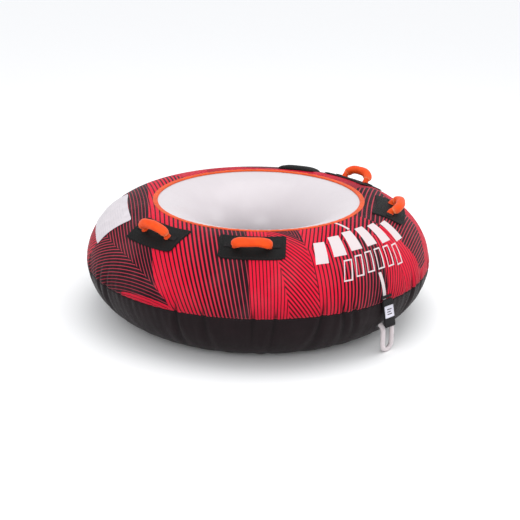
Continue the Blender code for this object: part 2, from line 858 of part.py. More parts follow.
def build_eyelets():
    bore = ROPE_DIAMETER / 2 + EYELET_CLEARANCE
    barrel = bore + EYELET_BARREL_WALL
    loop = [
        (bore, -COVER_THICKNESS),
        (barrel, -COVER_THICKNESS),
        (barrel, PIECE_GAP),
        (barrel + EYELET_FLANGE_WIDTH - EYELET_BARREL_WALL, PIECE_GAP),
        (barrel + EYELET_FLANGE_WIDTH - EYELET_BARREL_WALL, PIECE_GAP + EYELET_THICKNESS / 2),
        (bore + EYELET_BEVEL, PIECE_GAP + EYELET_THICKNESS),
        (bore, PIECE_GAP + EYELET_THICKNESS),
    ]
    mesh = turned_mesh("rope_eyelet", loop, 20)
    for label, heading in rope_headings():
        place = station(heading, ROPE_EXIT_ANGLE)
        add_object("rope_eyelet_" + label, mesh.copy(), BLACK_PLASTIC, place)


# The tow rope's route on the rider's right, from its eyelet to the lowest point: (x, y, z) in a frame
# turned by the rope's heading
ROPE_ROUTE = (
    (-0.0250, -0.6483, 0.1124),
    (-0.0252, -0.6533, 0.1091),
    (-0.0254, -0.6580, 0.1055),
    (-0.0256, -0.6629, 0.0996),
    (-0.0258, -0.6662, 0.0925),
    (-0.0260, -0.6675, 0.0846),
    (-0.0261, -0.6678, 0.0700),
    (-0.0261, -0.6678, 0.0520),
    (-0.0260, -0.6676, 0.0345),
    (-0.0240, -0.6676, 0.0243),
    (-0.0184, -0.6676, 0.0161),
    (-0.0099, -0.6676, 0.0105),
    (0.0000, -0.6676, 0.0084),
)


def smooth_route(points, per_span):
    """Points of a smooth curve through the route's points."""
    points = [Vector(point) for point in points]
    padded = [2 * points[0] - points[1]] + points + [2 * points[-1] - points[-2]]
    route = []
    for a, b, c, d in zip(padded, padded[1:], padded[2:], padded[3:]):
        for step in range(per_span):
            t = step / per_span
            route.append(
                0.5
                * (
                    2 * b
                    + (c - a) * t
                    + (2 * a - 5 * b + 4 * c - d) * t**2
                    + (3 * b - a - 3 * c + d) * t**3
                )
            )
    return route + [points[-1]]


def build_rope():
    other_side = [(-x, y, z) for x, y, z in ROPE_ROUTE[-2::-1]]
    route = smooth_route(list(ROPE_ROUTE) + other_side, 2)
    curve = bpy.data.curves.new("tow_rope", "CURVE")
    curve.dimensions = "3D"
    curve.bevel_depth = ROPE_DIAMETER / 2
    curve.bevel_resolution = 2
    curve.use_fill_caps = True
    spline = curve.splines.new("POLY")
    spline.points.add(len(route) - 1)
    for point, place in zip(spline.points, route):
        point.co = (*place, 1.0)
    turn = Matrix.Rotation(math.radians(ROPE_HEADING), 4, "Z")
    add_object("tow_rope", curve, WHITE_ROPE, turn)


# --- the zip ------------------------------------------------------------------------------------


def build_zip():
    half = ZIP_LENGTH / 2
    tape = (SEWN_LIFT, SEWN_LIFT + TAPE_THICKNESS)
    tape_half = ZIP_TAPE_WIDTH / 2
    sheet(
        "zip_tape",
        ZIP_HEADING,
        ZIP_ANGLE,
        (-half, half),
        (-tape_half, tape_half),
        tape,
        BLACK_NYLON,
        (18, 2),
    )
    chain_half = ZIP_CHAIN_WIDTH / 2
    chain_low = tape[1] + PIECE_GAP
    chain = (chain_low, chain_low + ZIP_CHAIN_HEIGHT)
    inset = half - SLIDER_LENGTH
    sheet(
        "zip_chain",
        ZIP_HEADING,
        ZIP_ANGLE,
        (-inset, inset),
        (-chain_half, chain_half),
        chain,
        BLACK_PLASTIC,
        (36, 1),
    )
    build_slider(chain[1])


def slider_heading():
    """The closed end of the zip, where the slider rests."""
    travel = ZIP_LENGTH / 2 - 2.2 * SLIDER_LENGTH
    return ZIP_HEADING - math.degrees(travel / section(ZIP_ANGLE)[0])


def build_slider(chain_top):
    place = station(slider_heading(), ZIP_ANGLE, chain_top + 4 * PIECE_GAP)
    x = SLIDER_LENGTH / 2
    y = SLIDER_WIDTH / 2
    slider = box_mesh("zip_slider", (-x, -y, 0), (x, y, SLIDER_HEIGHT))
    add_object("zip_slider", slider, NICKEL, place)
    pivot = place @ Vector((0, -y - PULL_STANDOFF, SLIDER_HEIGHT / 2))
    pull_place = Matrix.Translation(pivot) @ Matrix.Rotation(
        math.radians(slider_heading()), 4, "Z"
    )
    pull = box_mesh(
        "zip_pull",
        (-PULL_WIDTH / 2, -PULL_THICKNESS / 2, -PULL_LENGTH),
        (PULL_WIDTH / 2, PULL_THICKNESS / 2, -PULL_GAP),
    )
    add_object("zip_pull", pull, NICKEL, pull_place)


def build():
    clear_scene()
    build_bladder()
    build_cover()
    build_handles()
    build_label()
    build_valve()
    build_flap()
    build_tow_tab()
    build_eyelets()
    build_rope()
    build_zip()


build()
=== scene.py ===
"""Visual model of a round towable tube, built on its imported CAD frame.

Metres, +Z up. A place on the ring is a heading, in degrees from -Y towards +X, and a section
angle, in degrees from the outer seam (0) over the crest (90) towards the well (180).
"""

import math
from contextlib import contextmanager

import bmesh
import bpy
import numpy as np
from mathutils import Matrix, Vector


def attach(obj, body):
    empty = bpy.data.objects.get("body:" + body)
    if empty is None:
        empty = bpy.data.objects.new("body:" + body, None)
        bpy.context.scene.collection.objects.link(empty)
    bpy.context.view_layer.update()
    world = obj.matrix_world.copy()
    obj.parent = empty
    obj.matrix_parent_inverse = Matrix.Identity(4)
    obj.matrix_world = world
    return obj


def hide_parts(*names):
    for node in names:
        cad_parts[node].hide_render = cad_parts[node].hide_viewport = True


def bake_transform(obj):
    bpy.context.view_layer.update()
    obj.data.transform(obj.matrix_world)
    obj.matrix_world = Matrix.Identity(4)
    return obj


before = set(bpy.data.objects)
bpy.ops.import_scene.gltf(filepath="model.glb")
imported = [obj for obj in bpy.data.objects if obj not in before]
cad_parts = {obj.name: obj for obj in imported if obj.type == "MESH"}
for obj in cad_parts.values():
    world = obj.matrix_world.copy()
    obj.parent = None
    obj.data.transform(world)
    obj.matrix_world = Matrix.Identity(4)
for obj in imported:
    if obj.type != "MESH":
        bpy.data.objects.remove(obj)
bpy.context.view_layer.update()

# --- sizes shared with the CAD ------------------------------------------------------------------

OUTER_DIAMETER = 1.37
RING_WIDTH = 0.50
RING_HEIGHT = 0.46
SEAM_HEIGHT = 0.226
SECTION_POWER = 1.93
SEAM_ANGLE = -3.0
CENTRE_RADIUS = (OUTER_DIAMETER - RING_WIDTH) / 2
BLADDER_LIFT = -0.0016
SEWN_LIFT = 0.0007
RIM_ANGLE = 98.0
BINDING_WIDTH = 0.018
HANDLES = (
    ("side_right", -86.5, 63.0, 6.0),
    ("front_right", -44.8, 65.5, 33.0),
    ("front_left", 40.0, 67.5, 40.0),
    ("side_left", 87.5, 66.0, 22.0),
)
PATCH_WIDTH = 0.245
PATCH_DEPTH = 0.125
PATCH_THICKNESS = 0.0022
HANDLE_SPAN = 0.124
HANDLE_RISE = 0.041
ARCH_POWER = 2.6
AXIS_LIFT = 0.006
GRIP_DIAMETER = 0.035
GRIP_END_SHARE = 0.765
GRIP_START = 0.0115
STRAP_START = 0.0095
WEBBING_WIDTH = 0.020
WEBBING_THICKNESS = 0.0022
ANCHOR_LENGTH = 0.040
LABEL_HEADING = -126.5
LABEL_ANGLE = 46.0
LABEL_WIDTH = 0.35
LABEL_DEPTH = 0.162
LABEL_SKEW = 0.20
LABEL_BOW = 0.020
VALVE_HEADING = 117.0
VALVE_ANGLE = 75.0
FLAP_WIDTH = 0.160
FLAP_DEPTH = 0.110
FLAP_THICKNESS = 0.0025
FLAP_CROWN = 0.0095
TAPE_THICKNESS = 0.0008
HOOK_STRIP_WIDTH = 0.120
HOOK_STRIP_DEPTH = 0.016
HOOK_STRIP_INSET = 0.003
COVER_PORT_RADIUS = 0.033
VALVE_PORT_RADIUS = 0.019
TAB_HEADING = 1.3
TAB_WIDTH = 0.058
TAB_LENGTH = 0.118
TAB_SLANT = 0.21
TAB_THICKNESS = 0.005
TAB_BEVEL = 0.006
TAB_PIVOT_RISE = 0.002
TAB_STANDOFF = 0.0052
TAB_ANCHOR_DEPTH = 0.011
TAB_ANCHOR_RISE = 0.003
TAB_ANCHOR_THICKNESS = 0.003
TOW_LABEL_SIZE = 0.050
TOW_LABEL_DROP = 0.027
ROPE_HEADING = 4.5
ROPE_DIAMETER = 0.016
ZIP_HEADING = 180.0
ZIP_ANGLE = -11.0
ZIP_LENGTH = 0.56
ZIP_TAPE_WIDTH = 0.030
SLIDER_LENGTH = 0.016
DRAIN_COUNT = 4

# The tow rope's route on the rider's right, from its eyelet to the lowest point, in a frame turned by
# the rope's heading
ROPE_ROUTE = (
    (-0.0250, -0.6483, 0.1124),
    (-0.0252, -0.6533, 0.1091),
    (-0.0254, -0.6580, 0.1055),
    (-0.0256, -0.6629, 0.0996),
    (-0.0258, -0.6662, 0.0925),
    (-0.0260, -0.6675, 0.0846),
    (-0.0261, -0.6678, 0.0700),
    (-0.0261, -0.6678, 0.0520),
    (-0.0260, -0.6676, 0.0345),
    (-0.0240, -0.6676, 0.0243),
    (-0.0184, -0.6676, 0.0161),
    (-0.0099, -0.6676, 0.0105),
    (0.0000, -0.6676, 0.0084),
)

# --- details that only this model shows ---------------------------------------------------------

COVER_COLUMNS = 720
BASE_EDGE_ANGLE = -79.0
BASE_HEIGHT = 0.0014
BLADDER_SINK = 0.0115
WELD_ANGLE = 204.0
THREAD_SIDES = 5
# One stitch along its length: place, then thickness and height above the cloth in thread radii
STITCH_PROFILE = ((0.0, 0.25, -0.3), (0.12, 0.8, 0.3), (0.5, 1.0, 0.75), (0.88, 0.8, 0.3), (1.0, 0.25, -0.3))
# Stitch gauges: distance between stitches, the share that shows, and the thread's radius
SEAM_GAUGE = (0.0075, 0.6, 0.0006)
RIM_GAUGE = (0.006, 0.6, 0.0005)
PAD_GAUGE = (0.0052, 0.6, 0.0005)
BOX_GAUGE = (0.0030, 0.65, 0.0004)
LABEL_GAUGE = (0.005, 0.6, 0.0004)
ZIP_GAUGE = (0.004, 0.6, 0.0004)
HOOK_GAUGE = (0.004, 0.6, 0.0003)
TAB_GAUGE = (0.0038, 0.65, 0.0006)
TOW_LABEL_GAUGE = (0.0034, 0.6, 0.0003)
TAB_ANCHOR_GAUGE = (0.0036, 0.65, 0.0005)
PAD_SEAM_INSETS = (0.0055, 0.0085)
GRIP_SIDES = 40
CUFF_SIDES = 32
ROPE_SIDES = 40
# The foam's turned-in ends: share of the end's radius, and place beyond the sleeve's edge
GRIP_END_RINGS = ((0.93, 0.0016), (0.78, 0.0021), (0.58, 0.0008), (0.56, -0.006))
LABEL_MARGIN = (0.018, 0.016)
# Marks on the tow label: place across and up, width, height
TOW_LABEL_MARKS = ((0.0, 0.010, 0.026, 0.004), (-0.003, 0.0, 0.020, 0.004), (0.0, -0.010, 0.026, 0.004))
TOW_BOXES = ((-0.052, -0.027), (0.038, 0.054))
ZIP_PITCH = 0.0028
ZIP_SEAM_OFFSET = 0.0115

# --- the ring's section -------------------------------------------------------------------------


def signed_power(value, power):
    return np.sign(value) * np.abs(value) ** power


def section_normal(angle):
    turn = np.radians(angle)
    power = 2 - 2 / SECTION_POWER
    across = signed_power(np.cos(turn), power) / RING_WIDTH
    up = signed_power(np.sin(turn), power) / RING_HEIGHT
    normal = np.stack([across, up], -1)
    return normal / np.linalg.norm(normal, axis=-1, keepdims=True)


def section(angle, lift=0.0):
    """Radius and height at a section angle, lifted along the outward normal."""
    turn = np.radians(angle)
    normal = section_normal(angle)
    radius = CENTRE_RADIUS + RING_WIDTH / 2 * signed_power(np.cos(turn), 2 / SECTION_POWER)
    height = SEAM_HEIGHT + RING_HEIGHT / 2 * signed_power(np.sin(turn), 2 / SECTION_POWER)
    return radius + lift * normal[..., 0], np.maximum(height + lift * normal[..., 1], 0.0)


SECTION_ANGLES = np.linspace(-90, 270, 1441)
SECTION_POINTS = np.stack(section(SECTION_ANGLES), -1)
SECTION_STEPS = np.linalg.norm(np.diff(SECTION_POINTS, axis=0), axis=1)
SECTION_LENGTHS = np.concatenate([[0.0], np.cumsum(SECTION_STEPS)])


def length_at(angle):
    return np.interp(angle, SECTION_ANGLES, SECTION_LENGTHS)


def angle_at(length):
    return np.interp(length, SECTION_LENGTHS, SECTION_ANGLES)


def on_ring(heading, angle, lift=0.0):
    heading, angle, lift = np.broadcast_arrays(heading, angle, lift)
    radius, height = section(angle, lift)
    turn = np.radians(heading)
    return np.stack([radius * np.sin(turn), -radius * np.cos(turn), height], -1)


def ring_normal(heading, angle):
    heading, angle = np.broadcast_arrays(heading, angle)
    normal = section_normal(angle)
    turn = np.radians(heading)
    return np.stack([normal[..., 0] * np.sin(turn), -normal[..., 0] * np.cos(turn), normal[..., 1]], -1)


def station(heading, angle, lift=0.0):
    """A frame on the ring: X along the ring, Y up the section, Z outwards."""
    turn = math.radians(heading)
    along = Vector((math.cos(turn), math.sin(turn), 0))
    normal = Vector(ring_normal(heading, angle))
    rotation = Matrix((along, normal.cross(along), normal)).transposed()
    return Matrix.Translation(Vector(on_ring(heading, angle, lift))) @ rotation.to_4x4()


def patch_place(heading, angle, skew=0.0, bow=0.0, width=1.0):
    """Gives place(u, v, lift) for a sewn piece: u along the ring and v up the section."""

    def place(u, v, lift):
        here = angle_at(length_at(angle) + v + bow * (1 - (2 * u / width) ** 2))
        return on_ring(heading + np.degrees((u + skew * v) / section(here)[0]), here, lift)

    return place


# --- materials ----------------------------------------------------------------------------------


class Paint:
    """One material and the nodes that drive its Principled shader."""

    def __init__(self, name, values):
        self.material = bpy.data.materials.new(name)
        self.material.use_nodes = True
        self.tree = self.material.node_tree
        self.shader = self.tree.nodes["Principled BSDF"]
        for key, value in values.items():
            self.shader.inputs[key].default_value = value

    def put(self, socket, value):
        if isinstance(value, bpy.types.NodeSocket):
            self.tree.links.new(value, socket)
        else:
            socket.default_value = value

    def add(self, kind, values=None, **settings):
        node = self.tree.nodes.new("ShaderNode" + kind)
        for key, value in settings.items():
            setattr(node, key, value)
        for key, value in (values or {}).items():
            self.put(node.inputs[key], value)
        return node

    def math(self, operation, *values):
        node = self.add("Math", dict(enumerate(values)), operation=operation)
        return node.outputs[0]

    def mix(self, share, first, second):
        node = self.add("Mix", {0: share, 6: first, 7: second}, data_type="RGBA")
        return node.outputs[2]

    def span(self, value, low, high, to_low=0.0, to_high=1.0):
        keys = ("Value", "From Min", "From Max", "To Min", "To Max")
        return self.add("MapRange", dict(zip(keys, (value, low, high, to_low, to_high)))).outputs[0]

    def noise(self, vector, scale, detail=2.0, stretch=None):
        if stretch is not None:
            vector = self.add("VectorMath", {0: vector, 1: stretch}, operation="MULTIPLY").outputs[0]
        return self.add("TexNoise", {"Vector": vector, "Scale": scale, "Detail": detail}).outputs[0]

    def attribute(self, name):
        return self.add("Attribute", attribute_name=name).outputs["Fac"]

    def cloth(self):
        return self.add("UVMap", uv_map="cloth").outputs[0]

    def object_place(self):
        return self.add("TexCoord").outputs["Object"]

    def bump(self, height, strength, distance, under=None):
        values = {"Height": height, "Strength": strength, "Distance": distance}
        if under is not None:
            values["Normal"] = under
        return self.add("Bump", values).outputs[0]

    def set(self, name, value):
        self.put(self.shader.inputs[name], value)


def rgba(colour, gain=1.0):
    return (*[min(1.0, part * gain) for part in colour], 1.0)


def weave_height(paint, cloth, thread):
    """A plain weave's height: threads that cross over and under each other."""
    parts = paint.add("SeparateXYZ", {0: cloth}).outputs
    waves = [paint.math("SINE", paint.math("MULTIPLY", part, math.pi / thread)) for part in parts[:2]]
    return paint.math("MULTIPLY", waves[0], waves[1])


def rib_height(paint, cloth, rib, axis):
    part = paint.add("SeparateXYZ", {0: cloth}).outputs[axis]
    return paint.math("SINE", paint.math("MULTIPLY", part, 2 * math.pi / rib))


def textile(name, colour, thread, roughness, sheen=0.3, relief=0.35, creases=0.25, fade=1.5, rib=None):
    """Woven cloth: threads, fine creases, uneven dye, faded high spots and painted shade in the creases."""
    paint = Paint(name, {"Sheen Weight": sheen, "Sheen Roughness": 0.45, "Specular IOR Level": 0.1})
    cloth = paint.cloth()
    height = weave_height(paint, cloth, thread) if rib is None else rib_height(paint, cloth, rib, 0)
    broad = paint.noise(cloth, 14.0, 3.0)
    fine = paint.noise(cloth, 160.0, 2.0)
    dyed = paint.mix(paint.span(broad, 0.35, 0.65), rgba(colour, 0.82), rgba(colour))
    uneven = paint.math("ADD", paint.math("MULTIPLY", fine, 0.6), paint.math("MULTIPLY", broad, 0.4))
    worn = paint.span(uneven, 0.56, 0.72)
    faded = paint.mix(paint.math("MULTIPLY", worn, 0.55), dyed, rgba(colour, fade))
    # painted shade: the creases and the cloth above the seam darken towards a fifth of the cloth's colour
    paint.set("Base Color", paint.mix(paint.attribute("painted_shade"), faded, rgba(colour, 0.2)))
    paint.set("Roughness", paint.span(fine, 0.3, 0.7, roughness - 0.08, roughness + 0.10))
    under = paint.bump(broad, creases, 0.004)
    under = paint.bump(fine, creases, 0.0006, under)
    paint.set("Normal", paint.bump(height, relief, thread * 0.35 if rib is None else rib * 0.25, under))
    return paint.material


def smooth_plastic(name, colour, roughness, grain=0.2, metallic=0.0, coat=0.0):
    paint = Paint(name, {"Metallic": metallic, "Coat Weight": coat, "Coat Roughness": 0.25})
    place = paint.object_place()
    broad = paint.noise(place, 45.0, 3.0)
    fine = paint.noise(place, 900.0, 2.0)
    paint.set("Base Color", paint.mix(paint.span(broad, 0.3, 0.7), rgba(colour, 0.85), rgba(colour, 1.1)))
    paint.set("Roughness", paint.span(broad, 0.3, 0.7, roughness - 0.06, roughness + 0.10))
    paint.set("Normal", paint.bump(fine, grain, 0.0004))
    return paint.material


PRINT_RED = (0.64, 0.008, 0.034)
PRINT_PINK = (0.44, 0.038, 0.066)
PRINT_DARK = (0.013, 0.0045, 0.007)
PRINT_WHITE = (0.64, 0.565, 0.57)


def printed_cloth():
    """The cover's print: fine parallel lines in each facet, plain white shapes, and painted shade in the
    creases and above the seam.
    """
    paint = Paint("printed_cloth", {"Sheen Weight": 0.0, "Sheen Roughness": 0.4, "Specular IOR Level": 0.07})
    cloth = paint.cloth()
    broad = paint.noise(cloth, 9.0, 3.0)
    fine = paint.noise(cloth, 180.0, 2.0)
    share = paint.attribute("dark_share")
    line = paint.math("FRACT", paint.attribute("line_place"))
    edge = 0.06
    opening = paint.span(paint.math("SUBTRACT", line, share), -edge, edge)
    closing = paint.span(line, 1.0 - 2 * edge, 1.0, 1.0, 0.0)
    lit = paint.math("MULTIPLY", opening, closing)
    red = paint.mix(paint.span(share, 0.35, 0.75), rgba(PRINT_RED), rgba(PRINT_PINK))
    striped = paint.mix(lit, rgba(PRINT_DARK), red)
    inked = paint.mix(paint.attribute("white_ink"), striped, rgba(PRINT_WHITE))
    bleach = paint.math("MULTIPLY", paint.span(broad, 0.45, 0.75), 0.05)
    faded = paint.mix(bleach, inked, rgba((0.62, 0.30, 0.32)))
    # painted shade in the creases and just above the seam, towards a dark red
    paint.set("Base Color", paint.mix(paint.attribute("painted_shade"), faded, rgba(PRINT_DARK, 0.6)))
    paint.set("Roughness", paint.span(fine, 0.3, 0.7, 0.46, 0.62))
    under = paint.bump(paint.noise(cloth, 30.0, 3.0, (1.0, 0.35, 1.0)), 0.35, 0.004)
    paint.set("Normal", paint.bump(weave_height(paint, cloth, 0.0007), 0.25, 0.0003, under))
    return paint.material


def white_pvc():
    paint = Paint("white_pvc", {"Coat Weight": 0.35, "Coat Roughness": 0.22, "Specular IOR Level": 0.5})
    cloth = paint.cloth()
    broad = paint.noise(cloth, 5.0, 2.0)
    fine = paint.noise(cloth, 70.0, 2.0)
    paint.set("Base Color", paint.mix(broad, rgba((0.53, 0.485, 0.505)), rgba((0.59, 0.545, 0.565))))
    paint.set("Roughness", paint.span(fine, 0.3, 0.7, 0.28, 0.42))
    under = paint.bump(paint.noise(cloth, 11.0, 2.0, (1.0, 0.4, 1.0)), 0.25, 0.004)
    paint.set("Normal", paint.bump(fine, 0.08, 0.001, under))
    return paint.material


def grip_foam():
    """Orange cloth over foam, with a painted highlight that lightens it at its rims."""
    paint = Paint("grip_foam", {"Sheen Weight": 0.12, "Sheen Roughness": 0.35, "Specular IOR Level": 0.25})
    cloth = paint.cloth()
    broad = paint.noise(cloth, 35.0, 3.0)
    fine = paint.noise(cloth, 420.0, 2.0)
    body = paint.mix(paint.span(broad, 0.3, 0.7), rgba((0.70, 0.050, 0.0015)), rgba((0.80, 0.076, 0.003)))
    # painted highlight: the sleeve's rims are lightened towards a pale peach
    rim = paint.math("MULTIPLY", paint.attribute("rim"), 0.55)
    paint.set("Base Color", paint.mix(rim, body, rgba((1.0, 0.42, 0.20))))
    paint.set("Roughness", paint.span(fine, 0.3, 0.7, 0.50, 0.72))
    under = paint.bump(broad, 0.3, 0.003)
    paint.set("Normal", paint.bump(fine, 0.3, 0.0008, under))
    return paint.material


def label_vinyl():
    """A pale label with a margin and rows of plain grey bars."""
    paint = Paint("label_vinyl", {"Coat Weight": 0.2, "Coat Roughness": 0.3})
    cloth = paint.cloth()
    u, v = paint.add("SeparateXYZ", {0: cloth}).outputs[:2]
    row = paint.math("DIVIDE", v, 0.0105)
    inside_row = paint.math("FRACT", row)
    above = paint.math("GREATER_THAN", inside_row, 0.34)
    bar = paint.math("MULTIPLY", above, paint.math("LESS_THAN", inside_row, 0.66))
    block = paint.math("MULTIPLY", u, 14.0)
    blocks = paint.add("CombineXYZ", {0: block, 1: paint.math("FLOOR", row)}).outputs[0]
    broken = paint.math("GREATER_THAN", paint.noise(blocks, 1.7, 1.0), 0.47)
    margin = paint.attribute("margin")
    marks = paint.math("MULTIPLY", paint.math("MULTIPLY", bar, broken), margin)
    broad = paint.noise(cloth, 22.0, 3.0)
    base = paint.mix(paint.span(broad, 0.35, 0.7), rgba((0.56, 0.51, 0.54)), rgba((0.64, 0.59, 0.62)))
    paint.set("Base Color", paint.mix(paint.math("MULTIPLY", marks, 0.20), base, rgba((0.30, 0.30, 0.33))))
    paint.set("Roughness", paint.span(broad, 0.3, 0.7, 0.35, 0.5))
    paint.set("Normal", paint.bump(broad, 0.3, 0.003))
    return paint.material


MATERIALS = {
    "print": printed_cloth(),
    "nylon": textile("black_nylon", (0.0095, 0.0045, 0.0058), 0.0008, 0.46, 0.0, 0.25, 0.45, 2.0),
    "pad": textile("pad_neoprene", (0.0075, 0.0075, 0.0075), 0.0009, 0.62, 0.01, 0.35, 0.3, 1.8),
    "binding": textile("orange_binding", (0.72, 0.085, 0.012), 0.0009, 0.6, 0.12, 0.3, 0.2, 1.2, 0.0022),
    "webbing": textile("black_webbing", (0.011, 0.010, 0.011), 0.0010, 0.6, 0.04, 0.4, 0.2, 1.8, 0.0024),
    "tape": textile("zip_tape_cloth", (0.010, 0.009, 0.010), 0.0008, 0.65, 0.04, 0.35, 0.2, 1.8),
    "thread": textile("dark_thread", (0.030, 0.026, 0.028), 0.0008, 0.7, 0.1, 0.2, 0.1, 1.6),
    "red_thread": textile("red_thread", (0.30, 0.012, 0.028), 0.0008, 0.7, 0.4, 0.2, 0.1, 1.5),
    "orange_thread": textile("orange_thread", (0.70, 0.12, 0.03), 0.0008, 0.7, 0.4, 0.2, 0.1, 1.5),
    "rope": textile("white_rope", (0.70, 0.63, 0.64), 0.0012, 0.75, 0.4, 0.3, 0.3, 1.1),
    "woven_label": textile("woven_label", (0.68, 0.66, 0.74), 0.0007, 0.6, 0.3, 0.3, 0.2, 1.1),
    "pvc": white_pvc(),
    "grip": grip_foam(),
    "label": label_vinyl(),
    "black_plastic": smooth_plastic("black_plastic", (0.02, 0.02, 0.021), 0.38),
    "white_plastic": smooth_plastic("white_plastic", (0.76, 0.74, 0.75), 0.34, 0.15, 0.0, 0.2),
    "nickel": smooth_plastic("nickel", (0.62, 0.61, 0.58), 0.28, 0.15, 1.0),
}

# --- mesh building ------------------------------------------------------------------------------


def unit(vectors):
    return vectors / np.linalg.norm(vectors, axis=-1, keepdims=True)


def circle(count):
    """Evenly spaced angles round a full turn."""
    return 2 * np.pi * np.arange(count) / count


def run_lengths(points):
    """The distance along a line of points, at each of them."""
    return np.concatenate([[0.0], np.cumsum(np.linalg.norm(np.diff(points, axis=0), axis=1))])


def points_at(at, lengths, points):
    """Points at these distances along a line of points."""
    return np.stack([np.interp(at, lengths, column) for column in points.T], -1)


def add_mesh(name, points, faces, cloth, material, smooth=True):
    """An object from points and faces; cloth holds one (u, v) in metres for each face corner."""
    mesh = bpy.data.meshes.new(name)
    mesh.from_pydata(points, [], faces)
    layer = mesh.uv_layers.new(name="cloth")
    layer.data.foreach_set("uv", np.asarray(cloth, np.float32).ravel())
    if smooth:
        mesh.shade_smooth()
    mesh.materials.append(MATERIALS[material])
    item = bpy.data.objects.new(name, mesh)
    bpy.context.scene.collection.objects.link(item)
    return item


def add_values(item, name, domain, values):
    """A named value at each point or face corner, which a material reads."""
    layer = item.data.attributes.new(name, "FLOAT", domain)
    layer.data.foreach_set("value", np.asarray(values).ravel().astype(np.float32))


def grid_faces(rows, columns, wrap=False):
    """Quads of a grid of points, and the grid place of each corner before its column wraps."""
    i, j = np.meshgrid(np.arange(rows - 1), np.arange(columns - 1 + wrap), indexing="ij")
    corner_i = np.stack([i, i, i + 1, i + 1], -1).reshape(-1, 4)
    corner_j = np.stack([j, j + 1, j + 1, j], -1).reshape(-1, 4)
    return corner_i * columns + corner_j % columns, corner_i, corner_j


def grid_object(name, points, us, vs, material):
    """A closed skin over points[row, column]; us and vs are the cloth's length at columns and rows."""
    faces, corner_i, corner_j = grid_faces(*points.shape[:2], True)
    cloth = np.stack([np.asarray(us)[corner_j], np.asarray(vs)[corner_i]], -1)
    return add_mesh(name, points.reshape(-1, 3).tolist(), faces.tolist(), cloth, material)


def stops(half, edge, count):
    """Places from -half to half, close together near both ends."""
    near = edge * np.array([0.0, 0.12, 0.35, 0.65, 1.0])
    inner = np.linspace(-half + edge, half - edge, count + 1)[1:-1]
    return np.concatenate([near - half, inner, half - near[::-1]])


def slab(name, place, width, depth, low, thickness, material, edge, corner, steps, lift=None):
    """A flat sewn piece with rounded edges; lift(a, b) adds height, with a and b from -1 to 1."""
    us = stops(width / 2, edge, steps[0])
    vs = stops(depth / 2, edge, steps[1])
    u, v = np.meshgrid(us, vs)
    a = u / (width / 2)
    b = v / (depth / 2)
    pull = corner * np.abs(a * b) ** 14
    inset_u = np.minimum((width / 2 - np.abs(u)) / edge, 1)
    inset_v = np.minimum((depth / 2 - np.abs(v)) / edge, 1)
    profile = np.sqrt(1 - (1 - inset_u) ** 2) * np.sqrt(1 - (1 - inset_v) ** 2)
    extra = lift(a, b) if lift else 0.0
    u = u - np.sign(u) * pull
    v = v - np.sign(v) * pull
    top = place(u, v, low + thickness * (0.3 + 0.7 * profile) + extra)
    bottom = place(u, v, low + extra + 0 * u)
    rows, columns = u.shape
    faces, corner_i, corner_j = grid_faces(rows, columns)
    below = rows * columns
    index = np.arange(below).reshape(rows, columns)
    here = np.concatenate([index[0, :-1], index[:-1, -1], index[-1, :0:-1], index[:0:-1, 0]])
    there = np.roll(here, -1)
    sides = np.stack([below + here, below + there, there, here], -1)
    cloth_at = np.stack([us[here % columns], vs[here // columns]], -1)
    cloth_next = np.roll(cloth_at, -1, axis=0)
    side_cloth = np.stack([cloth_at, cloth_next, cloth_next, cloth_at], 1)
    sheet_cloth = np.stack([us[corner_j], vs[corner_i]], -1)
    every_face = np.concatenate([faces, faces[:, ::-1] + below, sides])
    cloth = np.concatenate([sheet_cloth, sheet_cloth[:, ::-1], side_cloth])
    points = np.concatenate([top.reshape(-1, 3), bottom.reshape(-1, 3)])
    item = add_mesh(name, points.tolist(), every_face.tolist(), cloth, material)
    item.data.set_sharp_from_angle(angle=math.radians(70))
    return item


def stitches(name, points, normals, material, gauge, closed):
    """A row of thread stitches along a line of points, each a short spindle that dips at both ends."""
    pitch, share, radius = gauge
    if closed:
        points = np.concatenate([points, points[:1]])
        normals = np.concatenate([normals, normals[:1]])
    lengths = run_lengths(points)
    count = max(1, int(round(lengths[-1] / pitch)))
    pitch = lengths[-1] / count
    starts = (np.arange(count) + 0.5 * (1 - share)) * pitch
    forward = unit(points_at(starts + share * pitch, lengths, points) - points_at(starts, lengths, points))
    turn = circle(THREAD_SIDES)
    rings = []
    for along, swell, rise in STITCH_PROFILE:
        at = starts + along * share * pitch
        up = unit(points_at(at, lengths, normals))
        side = np.cross(forward, up)
        outward = np.cos(turn)[:, None] * side[:, None] + np.sin(turn)[:, None] * up[:, None]
        centre = points_at(at, lengths, points) + rise * radius * up
        rings.append(centre[:, None] + radius * swell * outward)
    sections = len(STITCH_PROFILE)
    faces, corner_i, corner_j = grid_faces(sections, THREAD_SIDES, True)
    first = np.arange(count) * sections * THREAD_SIDES
    every_face = (faces[None] + first[:, None, None]).reshape(-1, 4)
    cloth = np.stack([corner_i * 0.002, corner_j * 0.0008], -1)
    cloth = np.broadcast_to(cloth, (count, *cloth.shape))
    made = np.stack(rings, 1).reshape(-1, 3)
    return add_mesh(name, made.tolist(), every_face.tolist(), cloth, material)


def sew(name, line, gauge, body="tube", thread="thread", closed=True):
    """A row of stitches that rides a body; line holds the row's points and normals."""
    finish_piece(stitches(name, *line, thread, gauge, closed), body)


def rectangle_line(place, width, depth, lift, step=0.004):
    """Points and normals round a rectangle on a sewn piece."""
    along = np.arange(-width / 2, width / 2, step)
    up = np.linspace(-depth / 2, depth / 2, int(depth / step), endpoint=False)
    u = np.concatenate([along, np.full(len(up), width / 2)])
    v = np.concatenate([np.full(len(along), -depth / 2), up])
    u = np.concatenate([u, -u])
    v = np.concatenate([v, -v])
    return place(u, v, lift), normals_from(place, u, v, lift)


def normals_from(place, u, v, lift):
    return unit(place(u, v, lift + 0.001) - place(u, v, lift))


def shifted(place, du, dv):
    """The same place function with its middle moved."""
    return lambda u, v, lift: place(u + du, v + dv, lift)


